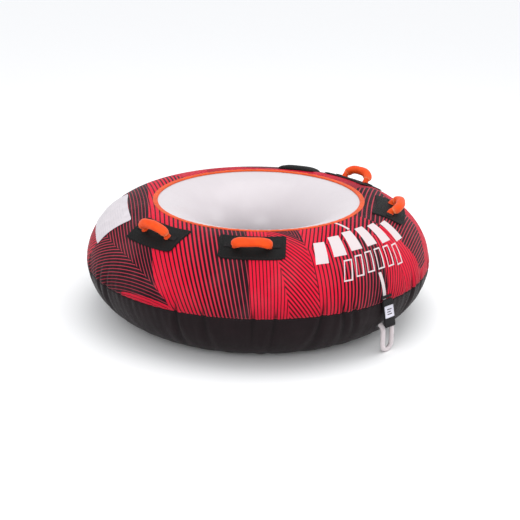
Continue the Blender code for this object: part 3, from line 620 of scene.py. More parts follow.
def raised(place, width, depth, height):
    """A place function that follows height(a, b) on top of a sewn piece of this width and depth."""
    return lambda u, v, lift: place(u, v, lift + height(u / (width / 2), v / (depth / 2)))


def finish_piece(item, body, replaces=None):
    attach(item, body)
    if replaces:
        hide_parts(replaces)


def set_material(node, name):
    """Gives a CAD node, which is drawn as it is, one of the materials."""
    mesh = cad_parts[node].data
    mesh.materials.clear()
    mesh.materials.append(MATERIALS[name])


@contextmanager
def mesh_edit(mesh):
    """A bmesh of this mesh, which is written back at the end."""
    work = bmesh.new()
    work.from_mesh(mesh)
    yield work
    work.to_mesh(mesh)
    work.free()


# --- gathers in the cover -----------------------------------------------------------------------


def gather_table():
    """Creases where the cover is gathered: heading, depth, width, reach up, reach down, tilt."""
    random = np.random.default_rng(11)
    rows = [
        (-104.7, 0.0040, 0.75, 14, 34, 0.03),
        (-99.5, 0.0035, 0.65, 12, 30, 0.02),
        (-68.0, 0.0040, 0.60, 9, 42, 0.00),
        (-58.8, 0.0032, 0.60, 9, 40, -0.02),
        (-43.8, 0.0034, 0.60, 8, 44, 0.01),
        (-37.1, 0.0036, 0.60, 8, 40, 0.03),
        (-22.5, 0.0042, 0.70, 12, 42, 0.05),
        (-15.3, 0.0042, 0.70, 10, 40, -0.06),
        (-11.5, 0.0036, 0.60, 9, 32, -0.05),
        (16.5, DEEPEST_CREASE, 0.75, 14, 38, 0.02),
    ]
    ranges = ((0.0026, DEEPEST_CREASE), (0.5, 0.8), (7, 14), (28, 44), (-0.05, 0.05))
    heading = 24.0
    while heading < 250.0:
        rows.append((heading, *[random.uniform(low, high) for low, high in ranges]))
        heading += random.uniform(5.0, 11.0)
    return rows


CREASE_GAIN = 1.9
DEEPEST_CREASE = 0.0044
SEAM_GROOVE = 0.0022


def creases_at(heading, angle):
    """Each crease's depth and width, and how far this place is from it, along the ring and up."""
    above = angle - SEAM_ANGLE
    for at, depth, width, up, down, tilt in gather_table():
        reach = np.where(above > 0, above / up, above / down)
        away = (heading - at - tilt * above + 180) % 360 - 180
        yield depth, width, away, reach


def relief(heading, angle):
    """How far the cloth stands above its smooth form: creases at the seam, and small waves between."""
    total = np.zeros(np.broadcast(heading, angle).shape)
    above = angle - SEAM_ANGLE
    for depth, width, away, reach in creases_at(heading, angle):
        spread = width * (1 + 0.035 * np.abs(above))
        shoulder = (np.abs(away) - 2.2 * spread) / spread
        total -= CREASE_GAIN * depth * np.exp(-((away / spread) ** 2) - reach**2)
        total += 0.35 * CREASE_GAIN * depth * np.exp(-(shoulder**2) - reach**2)
    turn = np.radians(heading)
    near = np.exp(-np.abs(above) / 16)
    lower = np.clip(-above / 30, 0, 1)
    total += 0.0011 * near * np.sin(61 * turn + 0.9 * np.sin(5 * turn)) * np.sin(23 * turn + 1.0)
    total += 0.0009 * near * np.sin(137 * turn + 2.0 * np.sin(7 * turn) + 0.05 * above)
    total += 0.0010 * lower * np.sin(43 * turn + 1.3 * np.sin(9 * turn) + 0.03 * above) * np.sin(11 * turn)
    total -= SEAM_GROOVE * np.exp(-((above / 0.9) ** 2))
    hold = 1 - np.clip((angle - 24) / 12, 0, 1)
    return total * hold


def painted_shade(heading, angle):
    """How much painted shade darkens the creases and the cloth just above the seam, from 0 to 1."""
    shade = np.zeros(np.broadcast(heading, angle).shape)
    above = angle - SEAM_ANGLE
    # painted shade along each crease's trough, darkest in the deepest creases
    for depth, width, away, reach in creases_at(heading, angle):
        shade = np.maximum(shade, depth / DEEPEST_CREASE * np.exp(-((away / (0.6 * width)) ** 2) - reach**2))
    # painted shade on the cloth just above the seam, darkest at the seam and fading upwards
    near = 0.28 * np.exp(-((above / 13) ** 2)) * (above > 0)
    return np.clip(0.9 * shade + near, 0, 0.92)


# --- the printed top ----------------------------------------------------------------------------

# The print is drawn flat: a place on it is a heading from its axis and a section angle, laid out
# as a disc, so that the print's straight lines and edges run as they do on the sewn cover.
PRINT_HEADING = -42.5
PRINT_RIM_RADIUS = 0.405
PRINT_STRETCH = 0.85
OUT = -40.0
RIM = 99.5

# A facet: corners, direction of its lines, distance between lines, dark share at its first and
# last line. Each corner is a heading and a section angle.
LEFT_ZIGZAG = ((-26, OUT), (-41, 51), (-58, 76), (-84, 89), (-120, 64), (-132, 50))
LEFT_FACETS = (
    ((*LEFT_ZIGZAG, (-132, OUT), (-95, OUT), (-60, OUT)), 8, 0.0112, (0.56, 0.82)),
    (
        (
            *LEFT_ZIGZAG, (-132, RIM), (-110, RIM), (-84, RIM), (-60, RIM), (-30, RIM), (-6.5, RIM),
            (-3.7, 54), (-1.2, OUT),
        ),
        9, 0.0145, (0.16, 0.84),
    ),
    (
        ((-22, OUT), (-29, 7), (-58.6, 37), (-72, 38), (-92, 46), (-92, OUT), (-60, OUT)),
        50, 0.0108, (0.78, 0.52),
    ),
    (((-47, 1), (-27, 1), (-20, OUT), (-37, OUT), (-55, OUT)), 50, 0.0100, (0.10, 0.14)),
    (
        ((-70, 33), (-77, -3), (-78, OUT), (-100, OUT), (-122, OUT), (-122, 33), (-95, 30)),
        46, 0.0125, (0.40, 0.50),
    ),
)
RIGHT_FACETS = (
    (
        ((-1.2, OUT), (-3.7, 54), (-6.5, RIM), (3, RIM), (5, 70), (7.4, 47), (11, OUT)),
        4, 0.0125, (0.22, 0.22),
    ),
    (((11, OUT), (7.4, 47), (5, 70), (11.6, 74), (18.5, 60.8), (19.4, OUT)), 55, 0.0120, (0.36, 0.24)),
    (((5, 70), (3, RIM), (6, 94), (18.5, 68), (18.5, 60.8), (11.6, 74)), 62, 0.0120, (0.32, 0.32)),
    (((18.5, 68), (5, 95), (3.5, RIM), (12, RIM)), 60, 0.0100, (0.74, 0.74)),
    (((18.5, 68), (12, RIM), (20.5, RIM)), 12, 0.0100, (0.70, 0.70)),
    (
        ((18.5, 60), (18.5, 68), (20.5, RIM), (40, RIM), (60, RIM), (60, 66), (48, 60)),
        -8, 0.0135, (0.18, 0.62),
    ),
    (((60, RIM), (85, RIM), (112, RIM), (112, 66), (88, 66), (60, 66)), -8, 0.0150, (0.66, 0.74)),
    (((19.4, OUT), (18.5, 60), (48, 60), (48, 47), (41.5, OUT)), 19, 0.0148, (0.18, 0.80)),
    (((41.5, OUT), (48, 47), (48, 60), (53, 60), (52, 47), (56, OUT)), 24, 0.0140, (0.34, 0.16)),
    (((56, OUT), (52, 47), (53, 60), (60, 66), (66, 66), (65, 12), (66, OUT)), 62, 0.0165, (0.12, 0.16)),
    (
        ((66, OUT), (65, 12), (84.5, 49), (100, 66), (112, 66), (112, OUT), (88, OUT)),
        63, 0.0170, (0.12, 0.26),
    ),
    (((66.5, 9), (62, 40), (60, 66), (90, 66), (84, 40), (72, 12)), -15, 0.0105, (0.66, 0.66)),
)
# The lines where no facet lies
BASE_FACET = ((), 8, 0.0185, (0.45, 0.45))
BACK_HEADING = 180 - PRINT_HEADING
BACK_FACETS = (
    (
        ((204, OUT), (211, RIM), (222.5, RIM), (234, RIM), (241, OUT), (222.5, OUT)),
        BACK_HEADING, 0.0150, (0.18, 0.18),
    ),
    (((213, OUT), (222.5, 62), (232, OUT)), BACK_HEADING, 0.0125, (0.76, 0.76)),
)


# Left and right headings of the bars at the tow point, from the middle between them
SOLID_BARS = ((-22.6, -17.8), (-15.0, -9.6), (-7.0, -1.8), (1.0, 6.2), (8.8, 14.0), (16.6, 21.6))
OUTLINED_BARS = ((-14.4, -11.0), (-9.4, -6.2), (-4.6, -1.4), (0.2, 3.4), (5.0, 8.2), (9.8, 13.0))
BAR_OUTLINE = 0.45


def mirrored(facets):
    """The same facets on the other side of the tow point."""
    axis = -2 * PRINT_HEADING
    return tuple(
        (tuple((axis - heading, angle) for heading, angle in corners), axis - lines, pitch, shares[::-1])
        for corners, lines, pitch, shares in facets
    )


def slanted_bar(left, right, low, high, lean):
    """A plain upright bar that leans, between two headings and two section angles."""
    return ((left, low), (right, low), (right + lean, high), (left + lean, high))


def graphic_shapes():
    """Plain shapes at the tow point: an arched row of solid bars, a row of outlined ones, two stripes."""
    middle = -PRINT_HEADING
    solid = []
    cut_out = []
    for left, right in SOLID_BARS:
        drop = 9.0 * ((left + right) / 44.0) ** 2
        solid.append(slanted_bar(middle + left, middle + right, 52.0 - drop, 74.5 - drop, 2.2))
    for left, right in OUTLINED_BARS:
        drop = 4.0 * ((left + right) / 28.0) ** 2
        left += middle
        right += middle
        solid.append(slanted_bar(left, right, 29.0 - drop, 48.0 - drop, 2.4))
        cut_out.append(slanted_bar(left + BAR_OUTLINE, right - BAR_OUTLINE, 30.3 - drop, 46.7 - drop, 2.2))
    solid.append(((middle - 0.1, 75.8), (middle + 1.3, 75.8), (middle + 1.5, RIM), (middle, RIM)))
    solid.append(((middle + 0.2, OUT), (middle + 1.5, OUT), (middle + 0.9, 26.5), (middle - 0.4, 26.5)))
    return solid, cut_out


def print_radius(angle):
    return PRINT_RIM_RADIUS + PRINT_STRETCH * (length_at(RIM_ANGLE) - length_at(angle))


def flat_place(heading, angle):
    turn = np.radians(heading)
    radius = print_radius(angle)
    return np.stack([radius * np.sin(turn), radius * np.cos(turn)], -1)


def inside(corners, places):
    """Which places lie inside a polygon."""
    found = np.zeros(len(places), bool)
    x, y = places.T
    for (ax, ay), (bx, by) in zip(corners, np.roll(corners, -1, axis=0)):
        crosses = (ay > y) != (by > y)
        with np.errstate(divide="ignore", invalid="ignore"):
            found ^= crosses & (x < (bx - ax) * (y - ay) / (by - ay) + ax)
    return found


def face_centres(faces):
    return np.array([face.calc_center_median()[:2] for face in faces])


def cut_along(work, corners, reach):
    """Cuts the flat mesh's faces along a polygon's edges."""
    for start, end in zip(corners, np.roll(corners, -1, axis=0)):
        length = np.linalg.norm(end - start)
        along = (end - start) / length
        across = np.array([-along[1], along[0]])
        faces = list(work.faces)
        offset = face_centres(faces) - start
        down = offset @ along
        near = (np.abs(offset @ across) < reach) & (down > -reach) & (down < length + reach)
        parts = {faces[k] for k in np.nonzero(near)[0]}
        for face in list(parts):
            parts.update(face.edges)
            parts.update(face.verts)
        if parts:
            bmesh.ops.bisect_plane(
                work, geom=list(parts), dist=1e-6, plane_co=(*start, 0), plane_no=(*across, 0)
            )


def port_outline():
    """The round opening for the valve, as corners in the flat print."""
    turn = np.linspace(0, 2 * np.pi, 33)[:-1]
    here = angle_at(length_at(VALVE_ANGLE) + COVER_PORT_RADIUS * np.sin(turn))
    heading = VALVE_HEADING - PRINT_HEADING + np.degrees(COVER_PORT_RADIUS * np.cos(turn) / section(here)[0])
    return flat_place(heading, here)


def faces_inside(work, corners):
    faces = list(work.faces)
    return [faces[k] for k in np.nonzero(inside(corners, face_centres(faces)))[0]]


def in_print(corners):
    return np.array([flat_place(*corner) for corner in corners])


def flat_cover(outlines):
    """The top panel laid flat and cut along every outline: its places and its faces."""
    headings = np.linspace(-180, 180, COVER_COLUMNS + 1) - PRINT_HEADING
    angles = np.concatenate([np.linspace(SEAM_ANGLE, 20, 24)[:-1], np.linspace(20, RIM_ANGLE, 46)])
    flat = flat_place(headings[None, :], angles[:, None]).reshape(-1, 2)
    points = np.concatenate([flat, np.zeros((len(flat), 1))], 1)
    mesh = bpy.data.meshes.new("flat_print")
    mesh.from_pydata(points.tolist(), [], grid_faces(len(angles), COVER_COLUMNS + 1)[0].tolist())
    with mesh_edit(mesh) as work:
        for corners in outlines:
            cut_along(work, corners, 0.008)
        bmesh.ops.delete(work, geom=faces_inside(work, port_outline()), context="FACES")
        work.verts.ensure_lookup_table()
        work.verts.index_update()
        places = np.array([vertex.co[:2] for vertex in work.verts])
        every_face = [[vertex.index for vertex in face.verts] for face in work.faces]
    bpy.data.meshes.remove(mesh)
    return places, every_face


def line_layout(facet, outline, places):
    """Which printed line each place is on, and how much of the line's width is dark there."""
    _, lines, pitch, shares = facet
    across = np.array([math.cos(math.radians(lines)), -math.sin(math.radians(lines))])
    position = places @ across
    radius = np.linalg.norm(outline, axis=1)
    held = outline * np.minimum(1, print_radius(SEAM_ANGLE) / radius)[:, None]
    low, high = (held @ across).min(), (held @ across).max()
    along = np.clip((position - low) / (high - low), 0, 1)
    return position / pitch + 50, shares[0] + (shares[1] - shares[0]) * along


def build_cover_top():
    """The printed top panel, cut along the print's edges while flat and then laid on the ring."""
    facets = mirrored(LEFT_FACETS) + BACK_FACETS + LEFT_FACETS + RIGHT_FACETS
    outlines = [in_print(facet[0]) for facet in facets]
    solid, cut_out = ([in_print(shape) for shape in shapes] for shapes in graphic_shapes())
    places, every_face = flat_cover(outlines + solid + cut_out + [port_outline()])
    sizes = np.array([len(face) for face in every_face])
    corners_of = np.concatenate(every_face)
    owner = np.repeat(np.arange(len(every_face)), sizes)
    centres = np.stack([np.bincount(owner, places[corners_of, k]) / sizes for k in range(2)], -1)
    kind = np.full(len(every_face), -1)
    for index, corners in enumerate(outlines):
        kind[inside(corners, centres)] = index
    ink = np.zeros(len(every_face))
    for value, shapes in ((1, solid), (0, cut_out)):
        for corners in shapes:
            ink[inside(corners, centres)] = value
    line_place = np.zeros(len(corners_of))
    dark_share = np.zeros(len(corners_of))
    for index in range(-1, len(facets)):
        mine = kind[owner] == index
        facet = BASE_FACET if index < 0 else facets[index]
        outline = outlines[max(index, 0)]
        line_place[mine], dark_share[mine] = line_layout(facet, outline, places[corners_of[mine]])
    radius = np.linalg.norm(places, axis=1)
    angle = angle_at(length_at(RIM_ANGLE) - (radius - PRINT_RIM_RADIUS) / PRINT_STRETCH)
    angle = np.clip(angle, SEAM_ANGLE, RIM_ANGLE)
    heading = np.degrees(np.arctan2(places[:, 0], places[:, 1])) + PRINT_HEADING
    placed = on_ring(heading, angle, relief(heading, angle))
    item = add_mesh("cover_top_print", placed.tolist(), every_face, places[corners_of], "print")
    add_values(item, "line_place", "CORNER", line_place)
    add_values(item, "dark_share", "CORNER", dark_share)
    add_values(item, "white_ink", "CORNER", ink[owner])
    # painted shade for the creases and the seam, kept at each point
    add_values(item, "painted_shade", "POINT", painted_shade(heading, angle))
    with mesh_edit(item.data) as work:
        bmesh.ops.remove_doubles(work, verts=work.verts, dist=2e-5)
    finish_piece(item, "tube", "cover_top")


def build_cover_side():
    headings = np.linspace(0, 360, COVER_COLUMNS + 1)
    around = headings[None, :-1]
    angles = np.concatenate([np.linspace(BASE_EDGE_ANGLE, -20, 34)[:-1], np.linspace(-20, SEAM_ANGLE, 20)])
    lift = relief(around, angles[:, None])
    # the last row is the seam allowance, turned in under the printed top
    angles = np.append(angles, SEAM_ANGLE + 1.5)
    lift = np.concatenate([lift, relief(around, angles[-1:, None]) - 0.0016])
    fold = on_ring(headings[:-1], BASE_EDGE_ANGLE)
    fold[:, 2] = 0.0004
    points = np.concatenate([fold[None], on_ring(around, angles[:, None], lift)])
    us = np.radians(headings) * OUTER_DIAMETER / 2
    vs = np.concatenate([[length_at(BASE_EDGE_ANGLE) - 0.002], length_at(angles)])
    item = grid_object("cover_side_cloth", points, us, vs, "nylon")
    rows = np.concatenate([[BASE_EDGE_ANGLE], angles])
    # painted shade for the creases and the seam, kept at each point
    add_values(item, "painted_shade", "POINT", painted_shade(*np.meshgrid(headings[:-1], rows)))
    finish_piece(item, "tube", "cover_side")
    headings = np.linspace(0, 360, 2 * COVER_COLUMNS + 1)[:-1]
    rows = (("upper", SEAM_ANGLE + 1.15, "red_thread"), ("lower", SEAM_ANGLE - 1.3, "thread"))
    for label, angle, thread in rows:
        points = on_ring(headings, angle, relief(headings, angle) + 0.0002)
        line = (points, ring_normal(headings, angle))
        sew("seam_stitches_" + label, line, SEAM_GAUGE, thread=thread)


def build_base():
    """The flat bottom, whose cloth shows from inside the well and from below."""
    radius = float(section(BASE_EDGE_ANGLE)[0])
    rings = np.array([0.02, 0.09, 0.11, 0.2, 0.3, 0.4, radius - 0.012, radius - 0.006, radius])[:, None]
    heights = np.array([BASE_HEIGHT] * 7 + [0.0022, 0.0008])[:, None]
    turn = np.radians(np.linspace(0, 360, 145))
    top = np.stack([rings * np.cos(turn[:-1]), rings * np.sin(turn[:-1]), heights + 0 * turn[:-1]], -1)
    top[0] = (0, 0, BASE_HEIGHT)
    under = top.copy()
    under[..., 2] = 0.0002
    item = grid_object("base_cloth", top[::-1].copy(), turn * 0.4, rings[::-1, 0], "nylon")
    finish_piece(item, "tube", "base_panel")
    item = grid_object("base_underside", under, turn * 0.4, rings[:, 0], "nylon")
    finish_piece(item, "tube")
    for index in range(DRAIN_COUNT):
        set_material(f"drain_grommet_{index + 1}", "nickel")


def build_bladder():
    """The white inner tube: a smooth skin with a weld line low in the well."""
    headings = np.linspace(0, 360, 361)
    angles = np.concatenate([np.linspace(-79, 98, 48)[:-1], np.linspace(98, 281, 121)])
    h, a = np.meshgrid(headings[:-1], angles)
    turn = np.radians(h)
    well = np.clip((a - 100) / 10, 0, 1)
    ease = np.exp(-(((a - 104) / 14) ** 2))
    aside = np.radians(h - VALVE_HEADING) * section(VALVE_ANGLE)[0]
    from_valve = np.hypot(aside, length_at(a) - length_at(VALVE_ANGLE))
    # under the cover, away from the valve, the skin stays clear of the cover's creases
    sunk = np.clip((94 - a) / 6, 0, 1) * (1 - np.exp(-((from_valve / 0.05) ** 4)))
    lift = BLADDER_LIFT - 0.0004 * (1 - well) - BLADDER_SINK * sunk
    lift += well * ease * 0.0006 * np.sin(47 * turn + 2 * np.sin(5 * turn)) * np.sin(9 * turn + 0.4)
    low = np.exp(-(((a - 238) / 26) ** 2))
    lift += low * 0.0012 * np.sin(31 * turn + 1.7 * np.sin(4 * turn)) * np.sin(8 * turn)
    weld = np.abs(a - WELD_ANGLE)
    lift += 0.0011 * np.clip(1.6 - weld, 0, 0.4) / 0.4 - 0.0008 * np.exp(-(((weld - 2.1) / 0.5) ** 2))
    points = on_ring(h, a, lift)
    points[..., 2] = np.maximum(points[..., 2], 0.0017)
    us = np.radians(headings) * CENTRE_RADIUS
    item = grid_object("bladder_skin", points, us, length_at(angles), "pvc")
    port = Vector(on_ring(VALVE_HEADING, VALVE_ANGLE, BLADDER_LIFT))
    with mesh_edit(item.data) as work:
        from_port = {face: (face.calc_center_median() - port).length for face in work.faces}
        hidden = [face for face, distance in from_port.items() if distance < VALVE_PORT_RADIUS]
        bmesh.ops.delete(work, geom=hidden, context="FACES")
    finish_piece(item, "tube", "bladder")


def build_rim():
    """A crowned edge binding folded over the cover's edge, with its row of stitches."""
    start = length_at(RIM_ANGLE)
    # along the section from the cover's edge, and height above the smooth cover
    outline = np.array([
        (-BINDING_WIDTH - 0.0004, 0.0002), (-BINDING_WIDTH, 0.0011), (-BINDING_WIDTH + 0.0015, 0.0018),
        (-0.0135, 0.0020), (-0.0125, 0.0019), (-0.0095, 0.0027), (-0.0060, 0.0032), (-0.0030, 0.0030),
        (-0.0005, 0.0022), (0.0010, 0.0010), (0.0014, -0.0004), (0.0008, -0.0014),
    ])
    along, rise = outline.T
    headings = np.linspace(0, 360, 721)
    around = headings[:-1]
    turn = np.radians(around)
    pucker = 0.00035 * np.sin(120 * turn) + 0.0003 * np.sin(53 * turn + 1.1)
    lifts = rise[:, None] + pucker * np.clip(rise / 0.002, 0, 1)[:, None]
    points = on_ring(around[None], angle_at(start + along)[:, None], lifts)
    item = grid_object("rim_binding_tape", points, np.radians(headings) * 0.41, along, "binding")
    finish_piece(item, "tube", "rim_binding")
    angle = angle_at(start - 0.0130)
    line = (on_ring(around, angle, 0.0019), ring_normal(around, angle))
    sew("rim_stitches", line, RIM_GAUGE, thread="orange_thread")


# --- the handles --------------------------------------------------------------------------------


def arch_path(start_height, count):
    """Points of the handle's arch in its own XZ plane, from one foot to the other, evenly spaced."""
    first = math.asin((start_height / HANDLE_RISE) ** (ARCH_POWER / 2))
    turn = np.linspace(math.pi - first, first, 400)
    x = HANDLE_SPAN / 2 * signed_power(np.cos(turn), 2 / ARCH_POWER)
    z = HANDLE_RISE * np.sin(turn) ** (2 / ARCH_POWER)
    path = np.stack([x, z], -1)
    lengths = run_lengths(path)
    even = np.linspace(0, lengths[-1], count + 1)
    return points_at(even, lengths, path), even


def hinge_frame(heading, angle):
    top = SEWN_LIFT + PATCH_THICKNESS
    half_turn = math.degrees(HANDLE_SPAN / 2 / float(section(angle)[0]))
    feet = [station(heading + side * half_turn, angle, top) for side in (-1, 1)]
    hinge = station(heading, angle)
    normal = hinge.col[2].xyz
    hinge.translation = (feet[0].translation + feet[1].translation) / 2 + AXIS_LIFT * normal
    return hinge


def grip_ring(place, direction, radii, shift=(0.0, 0.0)):
    """Points round the arch at one place, in the handle's own frame."""
    turn = circle(GRIP_SIDES)
    up = radii * np.cos(turn)
    x = place[0] - direction[1] * up + shift[0]
    z = place[1] + direction[0] * up + shift[1]
    return np.stack([x, radii * np.sin(turn), z], -1)


def build_grip(name, matrix, seed):
    """A foam sleeve under cloth: full in the middle, gathered where it turns down at its ends."""
    path, lengths = arch_path(GRIP_START, 72)
    tangent = unit(np.gradient(path, axis=0))
    bend = np.abs(np.gradient(np.unwrap(np.arctan2(tangent[:, 1], tangent[:, 0])), lengths))
    from_end = np.minimum(lengths, lengths[-1] - lengths)
    turn = circle(GRIP_SIDES)
    phase = np.random.default_rng(seed).uniform(0, 6.28, 6)
    full = GRIP_DIAMETER / 2
    # folds gather on the inner side of each bend
    inner = np.clip(-np.cos(turn), 0, 1) ** 1.5
    rows = []
    rim = []
    for place, direction, length, near, curve in zip(path, tangent, lengths, from_end, bend):
        swell = math.sin(min(1.0, near / 0.011) * math.pi / 2)
        folds = 0.0011 * min(1.0, curve / 18.0) * math.sin(length * 2 * math.pi / 0.0068 + phase[0])
        twist = np.sin(3 * turn + 90 * length + phase[1]) + np.sin(2 * turn - 60 * length + phase[2])
        end_folds = 0.0007 * math.exp(-near / 0.010) * np.sin(9 * turn + phase[3])
        radii = full * (GRIP_END_SHARE + (1 - GRIP_END_SHARE) * swell)
        radii = radii + folds * inner + 0.0005 * twist + end_folds
        rows.append(grip_ring(place, direction, radii))
        # how strongly the painted rim highlight shows, fading within a few millimetres of each end
        rim.append(math.exp(-near / 0.0035))
    for shrink, back in GRIP_END_RINGS:
        radii = full * GRIP_END_SHARE * shrink
        rows.insert(0, grip_ring(path[0], tangent[0], radii, -tangent[0] * back))
        rows.append(grip_ring(path[-1], tangent[-1], radii, tangent[-1] * back))
    caps = len(GRIP_END_RINGS)
    rim = np.concatenate([np.ones(caps), rim, np.ones(caps)])
    world = np.array(matrix)
    points = np.array(rows) @ world[:3, :3].T + world[:3, 3]
    beyond = np.array([0.001, 0.003, 0.005, 0.006])
    span = np.concatenate([-beyond[::-1], lengths, lengths[-1] + beyond])
    girth = full * np.linspace(0, 2 * np.pi, GRIP_SIDES + 1)
    item = grid_object(name, points, girth, span, "grip")
    # the painted rim highlight at each point
    add_values(item, "rim", "POINT", np.repeat(rim, GRIP_SIDES))
    return item


def ribbon(name, centres, normals, sides, width, thickness, material):
    """A webbing strip along centres, with its broad sides along sides and its faces along normals."""
    under = [(-1, -0.5), (-0.96, -1), (-0.5, -1), (0, -1), (0.5, -1), (0.96, -1), (1, -0.5)]
    outline = np.array(under + [(-across, -rise) for across, rise in under])
    outline = outline * (width / 2, thickness / 2)
    points = np.stack([centres + a * sides + b * normals for a, b in outline], 1)
    lengths = run_lengths(centres)
    us = np.append(outline[:, 0], outline[0, 0])
    rows, columns = points.shape[:2]
    faces, corner_i, corner_j = grid_faces(rows, columns, True)
    cloth = np.stack([lengths[corner_i], us[corner_j]], -1).reshape(-1, 2).tolist()
    every_face = faces.tolist()
    for end in (0, rows - 1):
        cap = [end * columns + j for j in range(columns)]
        every_face.append(cap[::-1] if end else cap)
        cloth.extend([0.0, us[j]] for j in range(columns))
    item = add_mesh(name, points.reshape(-1, 3).tolist(), every_face, cloth, material)
    with mesh_edit(item.data) as work:
        bmesh.ops.recalc_face_normals(work, faces=work.faces)
    item.data.set_sharp_from_angle(angle=math.radians(50))
    return item


def corner_curl(curls):
    """The height of a knuckle pad whose corners each stand up a little."""

    def height(a, b):
        total = 0.0
        for (sa, sb), high in zip(((-1, -1), (1, -1), (1, 1), (-1, 1)), curls):
            near = np.clip((a * sa + b * sb - 1.25) / 0.75, 0, 1)
            total = total + high * near**1.6
        waves = 0.0005 * np.sin(5.0 * a + curls[0] * 900) * np.clip(np.abs(b), 0, 1) ** 2
        return total + waves + 0.0006

    return height


def sew_rows(name, place, width, depth, lift, body):
    """The two rows of stitches just inside a pad's edge."""
    for index, inset in enumerate(PAD_SEAM_INSETS):
        line = rectangle_line(place, width - 2 * inset, depth - 2 * inset, lift)
        sew(f"{name}_{index + 1}", line, PAD_GAUGE, body)


def build_handle(place_name, heading, angle, lean, seed):
    place = patch_place(heading, angle)
    body = "handle_" + place_name
    curl = corner_curl(np.random.default_rng(seed).uniform(0.0006, 0.0042, 4))
    pad = slab(
        "knuckle_pad_" + place_name, place, PATCH_WIDTH, PATCH_DEPTH, SEWN_LIFT, PATCH_THICKNESS + 0.0006,
        "pad", 0.004, 0.006, (44, 24), curl,
    )
    finish_piece(pad, "tube", "knuckle_patch_" + place_name)
    lifted = raised(place, PATCH_WIDTH, PATCH_DEPTH, curl)
    top = SEWN_LIFT + PATCH_THICKNESS + 0.0007
    sew_rows("knuckle_stitches_" + place_name, lifted, PATCH_WIDTH, PATCH_DEPTH, top, "tube")
    hinge = hinge_frame(heading, angle)
    posed = hinge @ Matrix.Rotation(math.radians(lean), 4, "X")
    grip = build_grip("grip_" + place_name + "_foam", posed, seed)
    finish_piece(grip, body, "grip_" + place_name)
    path, _ = arch_path(STRAP_START, 48)
    tangent = unit(np.gradient(path, axis=0))
    local = np.stack([path[:, 0], 0 * path[:, 0], path[:, 1]], -1)
    normals = np.stack([-tangent[:, 1], 0 * path[:, 0], tangent[:, 0]], -1)
    world = np.array(posed)
    turned = world[:3, :3]
    strap = ribbon(
        "handle_webbing_" + place_name, local @ turned.T + world[:3, 3], normals @ turned.T,
        np.tile(turned[:, 1], (len(local), 1)), WEBBING_WIDTH, WEBBING_THICKNESS, "webbing",
    )
    finish_piece(strap, body, "handle_strap_" + place_name)
    for label, side in (("a", -1), ("b", 1)):
        build_foot(f"{place_name}_{label}", side, heading, angle, place)
        build_cuff(f"{place_name}_{label}", side, lean, hinge)


def build_foot(name, side, heading, angle, place):
    """Webbing sewn flat to the pad, beside the end of its handle."""
    low = SEWN_LIFT + PATCH_THICKNESS + 0.0014
    top = low + WEBBING_THICKNESS + 0.0001
    foot_u = side * HANDLE_SPAN / 2
    u = foot_u + side * np.linspace(ANCHOR_LENGTH, 0.003, 14)
    foot = station(heading + math.degrees(foot_u / float(section(angle)[0])), angle)
    anchor = ribbon(
        "handle_anchor_web_" + name, place(u, 0 * u, low + WEBBING_THICKNESS / 2),
        normals_from(place, u, 0 * u, low), np.tile(foot.col[1].xyz, (len(u), 1)),
        WEBBING_WIDTH, WEBBING_THICKNESS, "webbing",
    )
    finish_piece(anchor, "tube", "handle_anchor_" + name)
    boxed = shifted(place, foot_u + side * 0.021, 0.0)
    sew("anchor_box_" + name, rectangle_line(boxed, 0.028, 0.0145, top, 0.0015), BOX_GAUGE)
    for index, slope in enumerate((-1, 1)):
        u = np.linspace(-0.0135, 0.0135, 20)
        v = slope * u * 0.0068 / 0.0135
        line = (boxed(u, v, top), normals_from(boxed, u, v, low))
        sew(f"anchor_cross_{name}_{index + 1}", line, BOX_GAUGE, closed=False)


def build_cuff(name, side, lean, hinge):
    """The sleeve's cloth end, sewn down to the pad, bent to follow the handle's given lean."""
    turn = circle(CUFF_SIDES)
    top = GRIP_START + 0.004
    heights = np.linspace(-AXIS_LIFT + 0.0008, top, 18)
    share = (heights - heights[0]) / (top - heights[0])
    end_radius = GRIP_DIAMETER / 2 * GRIP_END_SHARE
    rows = []
    for height, t in zip(heights, share):
        waist = 1 - 0.14 * math.sin(math.pi * min(1.0, t * 1.15)) + 0.05 * (1 - t) ** 4
        gathers = (0.045 * (1 - t) + 0.015) * np.sin(9 * turn + 2.0 * side + 3 * t)
        folds = 1 + gathers - 0.02 * np.sin(4 * turn + 1.3)
        x = side * (HANDLE_SPAN / 2 - 0.0012 * t) + end_radius * 0.92 * waist * folds * np.cos(turn)
        y = end_radius * waist * folds * np.sin(turn)
        bend = math.radians(lean) * t * t * (3 - 2 * t)
        leaned = y * math.cos(bend) - height * math.sin(bend)
        raised_to = y * math.sin(bend) + height * math.cos(bend)
        rows.append(np.stack([x, leaned, raised_to], -1))
    rows[0][:, 2] = heights[0]
    world = np.array(hinge)
    points = np.array(rows) @ world[:3, :3].T + world[:3, 3]
    girth = end_radius * np.linspace(0, 2 * np.pi, CUFF_SIDES + 1)
    cuff = grid_object("handle_cuff_" + name, points[::-1], girth, heights, "grip")
    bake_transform(cuff)


# --- label, valve and flap ----------------------------------------------------------------------


